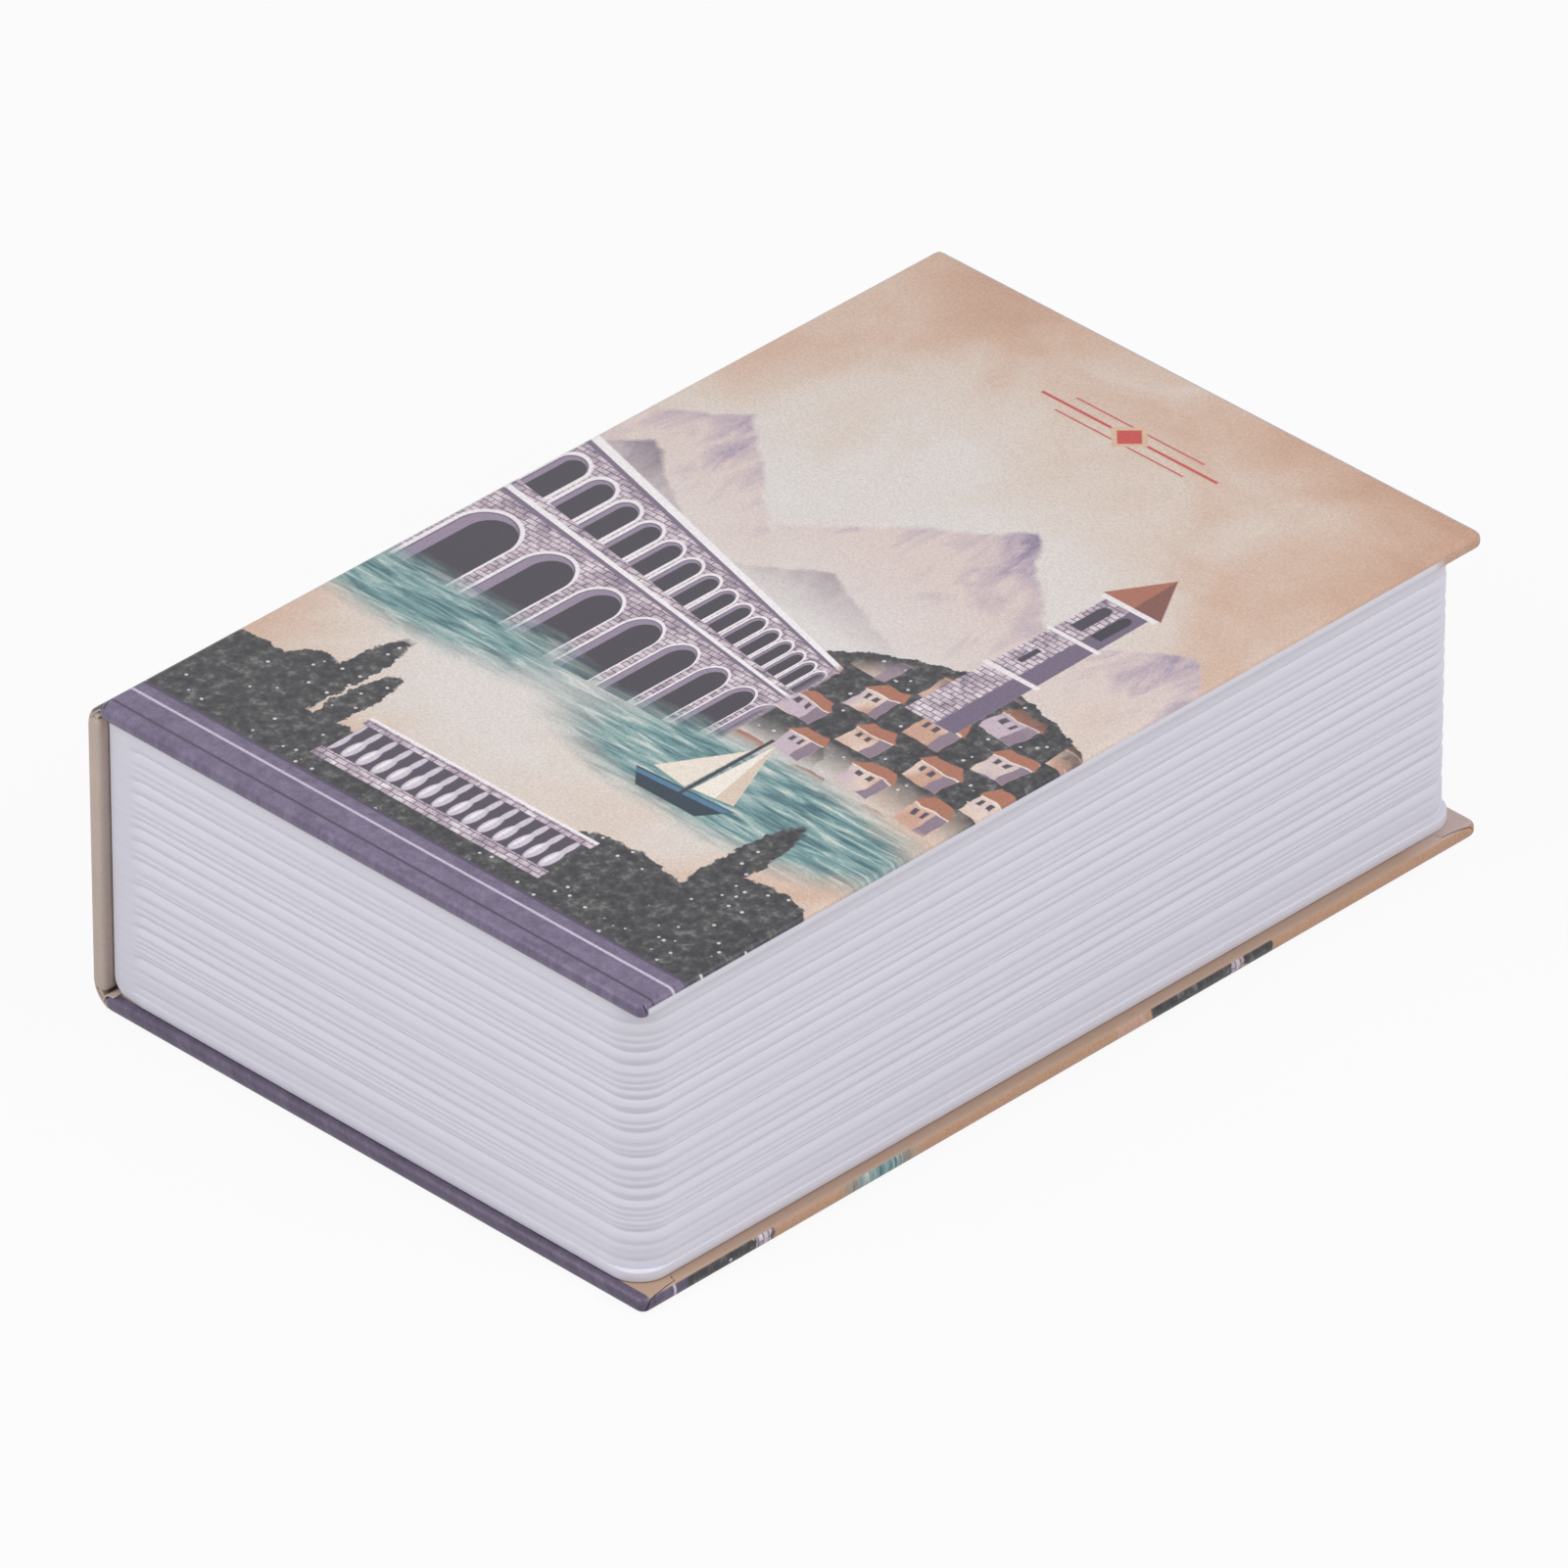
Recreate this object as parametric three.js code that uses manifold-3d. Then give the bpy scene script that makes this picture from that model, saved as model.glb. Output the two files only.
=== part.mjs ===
// A hollow book that hides a small lockable steel box: a hardcover case, a white moulded block that looks
// like page edges, and inside it a folded steel box with a hinged lid and a cam lock. Millimetres, +Z up.
// It lies on its back cover. The spine is towards -X and the fore-edge towards +X, the tail towards -Y and
// the head towards +Y.
import * as THREE from "three";
import { mergeVertices } from "three/addons/utils/BufferGeometryUtils.js";
import Module from "manifold-3d";

const wasm = await Module();
wasm.setup();

// Overall size of the closed book
const BOOK_WIDTH = 117.2;
const BOOK_HEIGHT = 180;
const BOOK_THICKNESS = 55;

// Cuts run this far past the face they open
const OVERRUN = 1;

// Hardcover case: greyboards wrapped in printed paper, with endpapers inside
const PAPER = 0.3;
const COVER_BOARD = 2.1;
const SPINE_BOARD = 2.4;
const TURN_IN = 5;
const COVER_CORNER_RADIUS = 1.6;
const COVER_EDGE_RADIUS = 0.9;
const SPINE_EDGE_RADIUS = 1.5;
const SPINE_INNER_RADIUS = 1.2;
const COVER_SETBACK = 2.2;
const JOINT_GAP = 0.3;

// Page block: one moulding, open underneath, with page-like grooves on three sides
const SPINE_CLEARANCE = 0.3;
const CLOSING_GAP = 0.2;
const FORE_REVEAL = 2.2;
const TAIL_REVEAL = 1.4;
const HEAD_REVEAL = 1.4;
const LIP_HEIGHT = 2;
const LIP_PROUD = 0.5;
const LIP_CORNER_RADIUS = 5.5;
const PAGE_CORNER_RADIUS = 6.5;
const PLAIN_BAND = 3.8;
const GROOVE_FADE = 2.2;
const GROOVE_DEPTH = 0.6;
const BUNDLE_ROUNDING = 0.5;
const FULL_BUNDLE = 1.6;
const BLOCK_WALL = 2;
const BLOCK_INNER_WALL = 2.2;
const RIM_WIDTH = 9;
const RIM_THICKNESS = 2.5;
const POCKET_CORNER_RADIUS = 2;
const POCKET_FLOOR = 2;
const FLOOR_HEADROOM = 2;
const BLOCK_FOOT_RADIUS = 3.5;
const WEB = 1.2;
const WEBS_ALONG = 5;
const WEBS_ACROSS = 3;

// Steel box: tray, lid, hinge and strike are folded from one sheet thickness
const SHEET = 0.8;
const TRAY_CORNER_RADIUS = 1.6;
const LID_SKIRT = 5;
const LID_DEPTH_BELOW_RIM = 2.8;
const LID_SIDE_GAP = 0.4;
const LID_POCKET_GAP = 0.5;
const LID_REST_GAP = 0.2;
const PIN_RADIUS = 1;
const PIN_CLEARANCE = 0.12;
const PIN_OVERHANG = 1.5;
const KNUCKLE_LENGTH = 24;
const KNUCKLES = 5;
const KNUCKLE_GAP = 0.4;
const LID_SWING_GAP = 1.9;
const STRIKE_LEG = 6.5;
const STRIKE_HEIGHT = 9;
const STRIKE_WIDTH = 24;

// Cam lock through the lid, near the fore-edge
const LOCK_INSET = 15;
const LOCK_BODY_RADIUS = 6.5;
const LOCK_FLATS = 12;
const LOCK_LENGTH = 16;
const LOCK_HEAD_RADIUS = 9.5;
const LOCK_HEAD_HEIGHT = 1.6;
const LOCK_HEAD_EDGE = 0.5;
const LOCK_HOLE_CLEARANCE = 0.1;
const PLUG_RADIUS = 4.5;
const PLUG_CLEARANCE = 0.12;
const KEYWAY_WIDTH = 1.3;
const KEYWAY_LENGTH = 7;
const KEYWAY_DEPTH = 12;
const LOCK_NUT_FLATS = 17;
const LOCK_NUT_HEIGHT = 3;
const LOCK_WASHER_RADIUS = 9;
const LOCK_WASHER_THICKNESS = 0.8;
const CAM_REACH = 13;
const CAM_HUB_RADIUS = 5.5;
const CAM_TIP_RADIUS = 4;
const CAM_THICKNESS = 1.5;
const CAM_GAP = 0.2;
const CAM_STRIKE_GAP = 0.5;
const TAIL_SQUARE = 5.4;
const TAIL_CLEARANCE = 0.1;
const STUD_RADIUS = 2;
const CAM_WASHER_RADIUS = 4.4;
const CAM_WASHER_THICKNESS = 0.6;
const CAM_NUT_FLATS = 7;
const CAM_NUT_HEIGHT = 2.4;
const STUD_END = 0.5;

// Pan-head screws that hold the tray to the moulding
const SCREW_INSET = 12;
const SCREW_RADIUS = 1.5;
const SCREW_HEAD_RADIUS = 3;
const SCREW_HEAD_HEIGHT = 1.8;
const SCREW_LENGTH = 4.2;
const SCREW_CLEARANCE = 0.1;
const SCREW_RECESS = 0.8;
const SCREW_RECESS_LENGTH = 3.4;
const SCREW_RECESS_WIDTH = 0.8;
const BOSS_RADIUS = 3.6;

// Facets on a quarter turn, and on a full small round
const CORNER_STEPS = 6;
const SMALL_CORNER_STEPS = 4;
const EDGE_STEPS = 3;
const ROUND_STEPS = 24;
const HEXAGON = 6;

// Grooves between bundles of pages, from the lip up: place as a share of the wall's height, and depth as a
// share of GROOVE_DEPTH
const GROOVE_SHARES = [
  [0.03, 0.35], [0.09, 0.3], [0.137, 1], [0.162, 0.5], [0.181, 0.5], [0.2, 0.5], [0.22, 0.5], [0.254, 1],
  [0.3, 0.8], [0.331, 0.4], [0.368, 0.6], [0.414, 1], [0.437, 0.5], [0.46, 0.5], [0.508, 1], [0.54, 0.5],
  [0.58, 1], [0.63, 1], [0.666, 0.7], [0.692, 0.4], [0.718, 0.5], [0.758, 1], [0.809, 1], [0.842, 0.5],
  [0.87, 0.4], [0.916, 0.8],
];

// What is left of a groove's depth halfway round the edge of a bundle
const BUNDLE_EDGE_SHARE = 0.25;

// Levels, from the back cover up
const COVER_THICKNESS = COVER_BOARD + 2 * PAPER;
const SPINE_THICKNESS = SPINE_BOARD + 2 * PAPER;
const BLOCK_BASE = COVER_THICKNESS;
const FRONT_COVER_BASE = BOOK_THICKNESS - COVER_THICKNESS;
const BLOCK_TOP = FRONT_COVER_BASE - CLOSING_GAP;
const POCKET_FLOOR_TOP = BLOCK_BASE + FLOOR_HEADROOM + POCKET_FLOOR;
const LID_TOP = BLOCK_TOP - LID_DEPTH_BELOW_RIM;
const LID_UNDERSIDE = LID_TOP - SHEET;
const TRAY_TOP = LID_UNDERSIDE - LID_REST_GAP;
const KNUCKLE_RADIUS = PIN_RADIUS + PIN_CLEARANCE + SHEET;
const HINGE_Z = LID_TOP - KNUCKLE_RADIUS;

// Plan extents, each as [low, high]
const bookX = [-BOOK_WIDTH / 2, BOOK_WIDTH / 2];
const bookY = [-BOOK_HEIGHT / 2, BOOK_HEIGHT / 2];
const coverX = [bookX[0] + COVER_SETBACK, bookX[1]];
const spineX = [bookX[0], bookX[0] + SPINE_THICKNESS];
const spineZ = [COVER_THICKNESS + JOINT_GAP, FRONT_COVER_BASE - JOINT_GAP];
const lipX = [spineX[1] + SPINE_CLEARANCE, bookX[1] - FORE_REVEAL];
const lipY = [bookY[0] + TAIL_REVEAL, bookY[1] - HEAD_REVEAL];
const pageX = [lipX[0], lipX[1] - LIP_PROUD];
const pageY = [lipY[0] + LIP_PROUD, lipY[1] - LIP_PROUD];
const pocketX = [lipX[0] + RIM_WIDTH, lipX[1] - RIM_WIDTH];
const pocketY = [lipY[0] + RIM_WIDTH, lipY[1] - RIM_WIDTH];
const HINGE_X = pocketX[0] + LID_SWING_GAP + KNUCKLE_RADIUS;
const LID_MARGIN = LID_POCKET_GAP + SHEET + LID_SIDE_GAP;
const trayX = [HINGE_X + PIN_RADIUS, pocketX[1] - LID_MARGIN];
const trayY = [pocketY[0] + LID_MARGIN, pocketY[1] - LID_MARGIN];
const TRAY_CENTRE_Y = (trayY[0] + trayY[1]) / 2;
const pinY = about(TRAY_CENTRE_Y, (KNUCKLES * KNUCKLE_LENGTH) / 2 + PIN_OVERHANG);
const LOCK_X = trayX[1] - SHEET - LOCK_INSET;
const LOCK_BOTTOM = LID_TOP - LOCK_LENGTH;
const CAM_TOP = LOCK_BOTTOM - CAM_GAP;
const CAM_BOTTOM = CAM_TOP - CAM_THICKNESS;

// Finishes
const finishes = {
  greyboard: { color: 0x9c948a, roughness: 0.9, metalness: 0 },
  printed_paper: { color: 0xd9b79e, roughness: 0.5, metalness: 0 },
  endpaper: { color: 0xc9a98d, roughness: 0.7, metalness: 0 },
  white_abs: { color: 0xdcdae6, roughness: 0.5, metalness: 0 },
  black_enamel: { color: 0x1c1c1e, roughness: 0.45, metalness: 0.2 },
  plated_steel: { color: 0xb9bbbe, roughness: 0.3, metalness: 1 },
  brass: { color: 0xb5975a, roughness: 0.35, metalness: 1 },
};

const book = new THREE.Group();
book.name = "book_diversion_safe";

// Turns a closed three.js geometry into a solid that can be joined and cut
function solidOf(geometry) {
  const bare = geometry.clone();
  bare.deleteAttribute("normal");
  bare.deleteAttribute("uv");
  const merged = mergeVertices(bare);
  const vertProperties = new Float32Array(merged.attributes.position.array);
  const triVerts = new Uint32Array(merged.index.array);
  return new wasm.Manifold(new wasm.Mesh({ numProp: 3, vertProperties, triVerts }));
}

// Adds a finished solid to the book as a named mesh with flat facets
function addPiece(name, finish, solid) {
  const { vertProperties, triVerts } = solid.getMesh();
  const geometry = new THREE.BufferGeometry();
  geometry.setAttribute("position", new THREE.BufferAttribute(vertProperties, 3));
  geometry.setIndex(new THREE.BufferAttribute(triVerts, 1));
  geometry.computeVertexNormals();
  const mesh = new THREE.Mesh(geometry, new THREE.MeshStandardMaterial(finishes[finish]));
  mesh.name = name;
  book.add(mesh);
}

function grow([low, high], by) {
  return [low - by, high + by];
}

function about(centre, reach) {
  return [centre - reach, centre + reach];
}

function block(x, y, z) {
  const geometry = new THREE.BoxGeometry(x[1] - x[0], y[1] - y[0], z[1] - z[0]);
  geometry.translate((x[0] + x[1]) / 2, (y[0] + y[1]) / 2, (z[0] + z[1]) / 2);
  return solidOf(geometry);
}

function roundedRectangle(x, y, radii) {
  const [lowLow, highLow, highHigh, lowHigh] = radii;
  const shape = new THREE.Shape();
  shape.moveTo(x[0] + lowLow, y[0]);
  shape.absarc(x[1] - highLow, y[0] + highLow, highLow, -Math.PI / 2, 0);
  shape.absarc(x[1] - highHigh, y[1] - highHigh, highHigh, 0, Math.PI / 2);
  shape.absarc(x[0] + lowHigh, y[1] - lowHigh, lowHigh, Math.PI / 2, Math.PI);
  shape.absarc(x[0] + lowLow, y[0] + lowLow, lowLow, Math.PI, 1.5 * Math.PI);
  return shape;
}

// Extrudes an outline between two levels; an edge radius rounds both rims inside the outline's own size
function extruded(shape, [low, high], edge = 0, edgeSteps = EDGE_STEPS) {
  const geometry = new THREE.ExtrudeGeometry(shape, {
    depth: high - low - 2 * edge,
    curveSegments: SMALL_CORNER_STEPS,
    bevelEnabled: edge > 0,
    bevelThickness: edge,
    bevelSize: edge,
    bevelOffset: -edge,
    bevelSegments: edgeSteps,
  });
  geometry.translate(0, 0, low + edge);
  return geometry;
}

// A slab lying in X and Y, with rounded plan corners and, where asked, softly rounded rims
function slab(x, y, z, corner, edge = 0, edgeSteps = EDGE_STEPS) {
  const outline = roundedRectangle(x, y, [corner, corner, corner, corner]);
  return solidOf(extruded(outline, z, edge, edgeSteps));
}

function upright(radius, [low, high], x, y, steps = ROUND_STEPS) {
  const geometry = new THREE.CylinderGeometry(radius, radius, high - low, steps);
  geometry.rotateX(Math.PI / 2);
  geometry.translate(x, y, (low + high) / 2);
  return solidOf(geometry);
}

// A round along Y, centred on the lid's hinge line
function barrel(radius, [low, high], steps = ROUND_STEPS) {
  const geometry = new THREE.CylinderGeometry(radius, radius, high - low, steps);
  geometry.translate(HINGE_X, (low + high) / 2, HINGE_Z);
  return solidOf(geometry);
}

// A round on the lock's axis
function lockRound(radius, z, steps = ROUND_STEPS) {
  return upright(radius, z, LOCK_X, TRAY_CENTRE_Y, steps);
}

function lockRing(outer, hole, z) {
  return lockRound(outer, z).subtract(lockRound(hole, grow(z, OVERRUN)));
}

function lockHexNut(flats, hole, z) {
  return lockRound(flats / Math.sqrt(3), z, HEXAGON).subtract(lockRound(hole, grow(z, OVERRUN)));
}

// One cover: a greyboard, the paper wrapped round it, and an endpaper let into the turned-in border.
// "inside" is the level of the cover's inner face, "outside" that of its printed face.
function addCover(side, inside, outside) {
  const inward = Math.sign(inside - outside);
  const levels = [Math.min(inside, outside), Math.max(inside, outside)];
  const boardX = grow(coverX, -PAPER);
  const board = slab(boardX, grow(bookY, -PAPER), grow(levels, -PAPER),
    COVER_CORNER_RADIUS - PAPER, COVER_EDGE_RADIUS - PAPER, 1);
  const paper = slab(coverX, bookY, levels, COVER_CORNER_RADIUS, COVER_EDGE_RADIUS);
  const sheetX = [boardX[0], coverX[1] - TURN_IN];
  const sheetY = grow(bookY, -TURN_IN);
  const sheetLevels = [inside, inside - inward * PAPER].sort((a, b) => a - b);
  const windowLevels = [inside + inward * OVERRUN, inside - inward * PAPER].sort((a, b) => a - b);
  const wrap = paper.subtract(board).subtract(block(sheetX, sheetY, windowLevels));
  addPiece(side + "_board", "greyboard", board);
  addPiece(side + "_wrap", "printed_paper", wrap);
  addPiece(side + "_endpaper", "endpaper", block(sheetX, sheetY, sheetLevels).subtract(board));
}

// The spine stands between the covers; its section is drawn in X and Z and runs along Y
function spineSolid(inset, edgeSteps) {
  const outer = SPINE_EDGE_RADIUS - inset;
  const inner = SPINE_INNER_RADIUS - inset;
  const section = roundedRectangle(grow(spineX, -inset), grow(spineZ, -inset), [outer, inner, inner, outer]);
  const [low, high] = grow(bookY, -inset);
  const geometry = extruded(section, [-high, -low], COVER_EDGE_RADIUS - inset, edgeSteps);
  geometry.rotateX(Math.PI / 2);
  return solidOf(geometry);
}

function addSpine() {
  const board = spineSolid(PAPER, 1);
  const liningY = grow(bookY, -TURN_IN);
  const liningZ = grow(spineZ, -PAPER);
  const window = block([spineX[1] - PAPER, spineX[1] + OVERRUN], liningY, liningZ);
  const lining = block([spineX[1] - PAPER, spineX[1]], liningY, liningZ);
  addPiece("spine_board", "greyboard", board);
  addPiece("spine_wrap", "printed_paper", spineSolid(0, EDGE_STEPS).subtract(board).subtract(window));
  addPiece("spine_lining", "endpaper", lining.subtract(board));
}

// Stations round the page wall's plan: where the crest line runs, which way it faces, and how much of a
// groove it takes. Beside the spine is a plain band, where the grooves run out.
function pageStations() {
  const stations = [];
  const corner = PAGE_CORNER_RADIUS;
  const bandEnd = pageX[0] + PLAIN_BAND;
  const band = [[pageX[0], 0], [bandEnd, 0], [bandEnd + GROOVE_FADE, 1]];
  const addArc = (y, start) => {
    for (let i = 0; i <= CORNER_STEPS; i++) {
      const turn = start + (i / CORNER_STEPS) * (Math.PI / 2);
      const facing = new THREE.Vector2(Math.cos(turn), Math.sin(turn));
      const at = facing.clone().multiplyScalar(corner).add(new THREE.Vector2(pageX[1] - corner, y));
      stations.push({ at, facing, share: 1 });
    }
  };
  const addEnd = (y, facing, ends) => {
    for (const [x, share] of ends) {
      stations.push({ at: new THREE.Vector2(x, y), facing: new THREE.Vector2(0, facing), share });
    }
  };
  addEnd(pageY[0], -1, band);
  addArc(pageY[0] + corner, -Math.PI / 2);
  addArc(pageY[1] - corner, 0);
  addEnd(pageY[1], 1, band.reverse());
  return stations;
}

// The wall's profile, as [level, depth] pairs from the base up. Between two grooves a bundle of pages swells
// out with rounded edges, and a bundle thinner than a full one stays a little back.
function pageProfile() {
  const foot = BLOCK_BASE + LIP_HEIGHT;
  const height = BLOCK_TOP - foot;
  const grooves = GROOVE_SHARES.map(([place, depth]) => [foot + place * height, depth * GROOVE_DEPTH]);
  const rows = [[BLOCK_BASE, 0], [foot, 0]];
  let [low, lowDepth] = [foot, 0];
  for (const [high, highDepth] of [...grooves, [BLOCK_TOP, 0]]) {
    const quarter = (high - low) / 4;
    const rounding = Math.min(quarter, BUNDLE_ROUNDING);
    const crest = Math.max(0, 1 - (high - low) / FULL_BUNDLE) * Math.min(lowDepth, highDepth);
    rows.push([low + rounding, crest + BUNDLE_EDGE_SHARE * (lowDepth - crest)]);
    rows.push([low + 2 * rounding, crest]);
    if (rounding < quarter) {
      rows.push([high - 2 * rounding, crest]);
    }
    rows.push([high - rounding, crest + BUNDLE_EDGE_SHARE * (highDepth - crest)]);
    rows.push([high, highDepth]);
    [low, lowDepth] = [high, highDepth];
  }
  return rows;
}

// The page wall is lofted: the plan outline is drawn again at every level, pulled in by that level's groove
function pageWall() {
  const stations = pageStations();
  const rows = pageProfile();
  const count = stations.length;
  const points = [];
  for (const [level, depth] of rows) {
    for (const { at, facing, share } of stations) {
      points.push(at.x - facing.x * depth * share, at.y - facing.y * depth * share, level);
    }
  }
  const middle = [(pageX[0] + pageX[1]) / 2, (pageY[0] + pageY[1]) / 2];
  const lowest = points.push(...middle, BLOCK_BASE) / 3 - 1;
  const highest = points.push(...middle, BLOCK_TOP) / 3 - 1;
  const lastRow = (rows.length - 1) * count;
  const triangles = [];
  for (let i = 0; i < count; i++) {
    const next = (i + 1) % count;
    triangles.push(lowest, next, i);
    triangles.push(highest, lastRow + i, lastRow + next);
    for (let row = 0; row < lastRow; row += count) {
      triangles.push(row + i, row + next, row + count + next);
      triangles.push(row + i, row + count + next, row + count + i);
    }
  }
  const geometry = new THREE.BufferGeometry();
  geometry.setAttribute("position", new THREE.Float32BufferAttribute(points, 3));
  geometry.setIndex(triangles);
  return solidOf(geometry);
}

function screwPlaces() {
  const xs = grow(trayX, -SHEET - SCREW_INSET);
  const ys = grow(trayY, -SHEET - SCREW_INSET);
  return xs.flatMap((x) => ys.map((y) => [x, y]));
}

// The hollow underside of the moulding, between its outer wall and its pocket, with webs and screw bosses
function blockUnderside() {
  const wallInset = LIP_PROUD + GROOVE_DEPTH + BLOCK_WALL;
  const innerX = [lipX[0] + BLOCK_WALL, lipX[1] - wallInset];
  const innerY = grow(lipY, -wallInset);
  const corner = PAGE_CORNER_RADIUS - GROOVE_DEPTH - BLOCK_WALL;
  const below = BLOCK_BASE - OVERRUN;
  const ceiling = BLOCK_TOP - RIM_THICKNESS;
  const pocketUnderside = POCKET_FLOOR_TOP - POCKET_FLOOR;
  let hollow = slab(innerX, innerY, [below, ceiling], corner);
  hollow = hollow.subtract(slab(grow(pocketX, BLOCK_INNER_WALL), grow(pocketY, BLOCK_INNER_WALL),
    [pocketUnderside, BLOCK_TOP], POCKET_CORNER_RADIUS + BLOCK_INNER_WALL));
  for (let i = 1; i <= WEBS_ALONG; i++) {
    const y = innerY[0] + ((innerY[1] - innerY[0]) * i) / (WEBS_ALONG + 1);
    hollow = hollow.subtract(block(grow(innerX, OVERRUN), about(y, WEB / 2), [below, BLOCK_TOP]));
  }
  for (let i = 1; i <= WEBS_ACROSS; i++) {
    const x = innerX[0] + ((innerX[1] - innerX[0]) * i) / (WEBS_ACROSS + 1);
    hollow = hollow.subtract(block(about(x, WEB / 2), grow(innerY, OVERRUN), [below, BLOCK_TOP]));
  }
  for (const [x, y] of screwPlaces()) {
    hollow = hollow.subtract(upright(BOSS_RADIUS, [below, pocketUnderside + OVERRUN], x, y));
  }
  return hollow;
}

// What rounds off the moulding's foot along the spine
function footCutter() {
  const axisX = lipX[0] + BLOCK_FOOT_RADIUS;
  const axisZ = BLOCK_BASE + BLOCK_FOOT_RADIUS;
  const cutY = grow(lipY, OVERRUN);
  const roundY = grow(cutY, OVERRUN);
  const square = block([lipX[0] - OVERRUN, axisX], cutY, [BLOCK_BASE - OVERRUN, axisZ]);
  const geometry = new THREE.CylinderGeometry(BLOCK_FOOT_RADIUS, BLOCK_FOOT_RADIUS,
    roundY[1] - roundY[0], 4 * CORNER_STEPS);
  geometry.translate(axisX, (roundY[0] + roundY[1]) / 2, axisZ);
  return square.subtract(solidOf(geometry));
}

function addPageBlock() {
  const lip = slab(lipX, lipY, [BLOCK_BASE, BLOCK_BASE + LIP_HEIGHT], LIP_CORNER_RADIUS);
  const pocket = slab(pocketX, pocketY, [POCKET_FLOOR_TOP, BLOCK_TOP + OVERRUN], POCKET_CORNER_RADIUS);
  let moulding = pageWall().add(lip).subtract(pocket).subtract(blockUnderside()).subtract(footCutter());
  for (const [x, y] of screwPlaces()) {
    moulding = moulding.subtract(upright(SCREW_RADIUS + SCREW_CLEARANCE,
      [BLOCK_BASE - OVERRUN, POCKET_FLOOR_TOP + OVERRUN], x, y));
  }
  addPiece("page_block", "white_abs", moulding);
}

// Knuckle n of the lid hinge runs between these Y places; even ones belong to the tray, odd ones to the lid
function knuckleRange(n) {
  const start = TRAY_CENTRE_Y + (n - KNUCKLES / 2) * KNUCKLE_LENGTH;
  return grow([start, start + KNUCKLE_LENGTH], -KNUCKLE_GAP / 2);
}

function knuckles(parity) {
  return [...Array(KNUCKLES).keys()].filter((n) => n % 2 === parity).map(knuckleRange);
}

// Tray: a folded open box. Its wall at the spine side is cut back for the lid's knuckles and has its own.
function addTray() {
  const cutTop = TRAY_TOP + OVERRUN;
  let tray = slab(trayX, trayY, [POCKET_FLOOR_TOP, TRAY_TOP], TRAY_CORNER_RADIUS);
  tray = tray.subtract(slab(grow(trayX, -SHEET), grow(trayY, -SHEET), [POCKET_FLOOR_TOP + SHEET, cutTop],
    TRAY_CORNER_RADIUS - SHEET));
  const hingeWall = grow([trayX[0], trayX[0] + SHEET], OVERRUN / 2);
  const sweep = KNUCKLE_RADIUS + LID_SIDE_GAP;
  tray = tray.subtract(block(hingeWall, grow(trayY, -TRAY_CORNER_RADIUS - SHEET), [HINGE_Z, cutTop]));
  for (const y of knuckles(1)) {
    tray = tray.subtract(block(hingeWall, grow(y, 2 * KNUCKLE_GAP), [HINGE_Z - sweep, cutTop]));
  }
  for (const y of knuckles(0)) {
    tray = tray.add(barrel(KNUCKLE_RADIUS, y));
  }
  for (const [x, y] of screwPlaces()) {
    tray = tray.subtract(upright(SCREW_RADIUS + SCREW_CLEARANCE,
      grow([POCKET_FLOOR_TOP, POCKET_FLOOR_TOP + SHEET], OVERRUN), x, y));
  }
  const pinBore = barrel(PIN_RADIUS + PIN_CLEARANCE, grow(pinY, OVERRUN));
  addPiece("steel_tray", "black_enamel", tray.subtract(pinBore));
}

// Hinge pin: the full hinge length, standing out a little at both ends
function addHingePin() {
  addPiece("hinge_pin", "plated_steel", barrel(PIN_RADIUS, pinY));
}

// Strike: an angle welded inside the fore-edge wall; the cam turns in under its short leg
function addStrike() {
  const wall = trayX[1] - SHEET;
  const width = about(TRAY_CENTRE_Y, STRIKE_WIDTH / 2);
  const foot = CAM_TOP + CAM_STRIKE_GAP;
  const back = block([wall - SHEET, wall], width, [foot, foot + STRIKE_HEIGHT]);
  const leg = block([wall - STRIKE_LEG, wall], width, [foot, foot + SHEET]);
  addPiece("strike_plate", "black_enamel", back.add(leg));
}

// The round lock body has two flats, and the hole in the lid matches it
function lockSection(clearance, z) {
  const acrossX = about(LOCK_X, LOCK_BODY_RADIUS + OVERRUN);
  const acrossY = about(TRAY_CENTRE_Y, LOCK_FLATS / 2 + clearance);
  return lockRound(LOCK_BODY_RADIUS + clearance, z).intersect(block(acrossX, acrossY, z));
}

// Lid: a flat plate with a skirt on three sides and curled knuckles on the fourth
function addLid() {
  const reach = SHEET + LID_SIDE_GAP;
  const x = [HINGE_X + KNUCKLE_RADIUS + 2 * LID_SIDE_GAP, trayX[1] + reach];
  const y = grow(trayY, reach);
  const corner = TRAY_CORNER_RADIUS + reach;
  const bottom = LID_UNDERSIDE - LID_SKIRT;
  let lid = slab(x, y, [bottom, LID_TOP], corner);
  const insideX = [x[0] - OVERRUN, x[1] - SHEET];
  lid = lid.subtract(slab(insideX, grow(y, -SHEET), [bottom - OVERRUN, LID_UNDERSIDE], corner - SHEET));
  lid = lid.add(block([x[0], x[0] + corner], grow(y, -corner), [LID_UNDERSIDE, LID_TOP]));
  for (const range of knuckles(1)) {
    const tab = block([HINGE_X, x[0] + corner], range, [LID_UNDERSIDE, LID_TOP]);
    lid = lid.add(tab).add(barrel(KNUCKLE_RADIUS, range));
  }
  lid = lid.subtract(barrel(PIN_RADIUS + PIN_CLEARANCE, grow(pinY, OVERRUN)));
  lid = lid.subtract(lockSection(LOCK_HOLE_CLEARANCE, grow([LID_UNDERSIDE, LID_TOP], OVERRUN)));
  addPiece("steel_lid", "black_enamel", lid);
}

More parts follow.
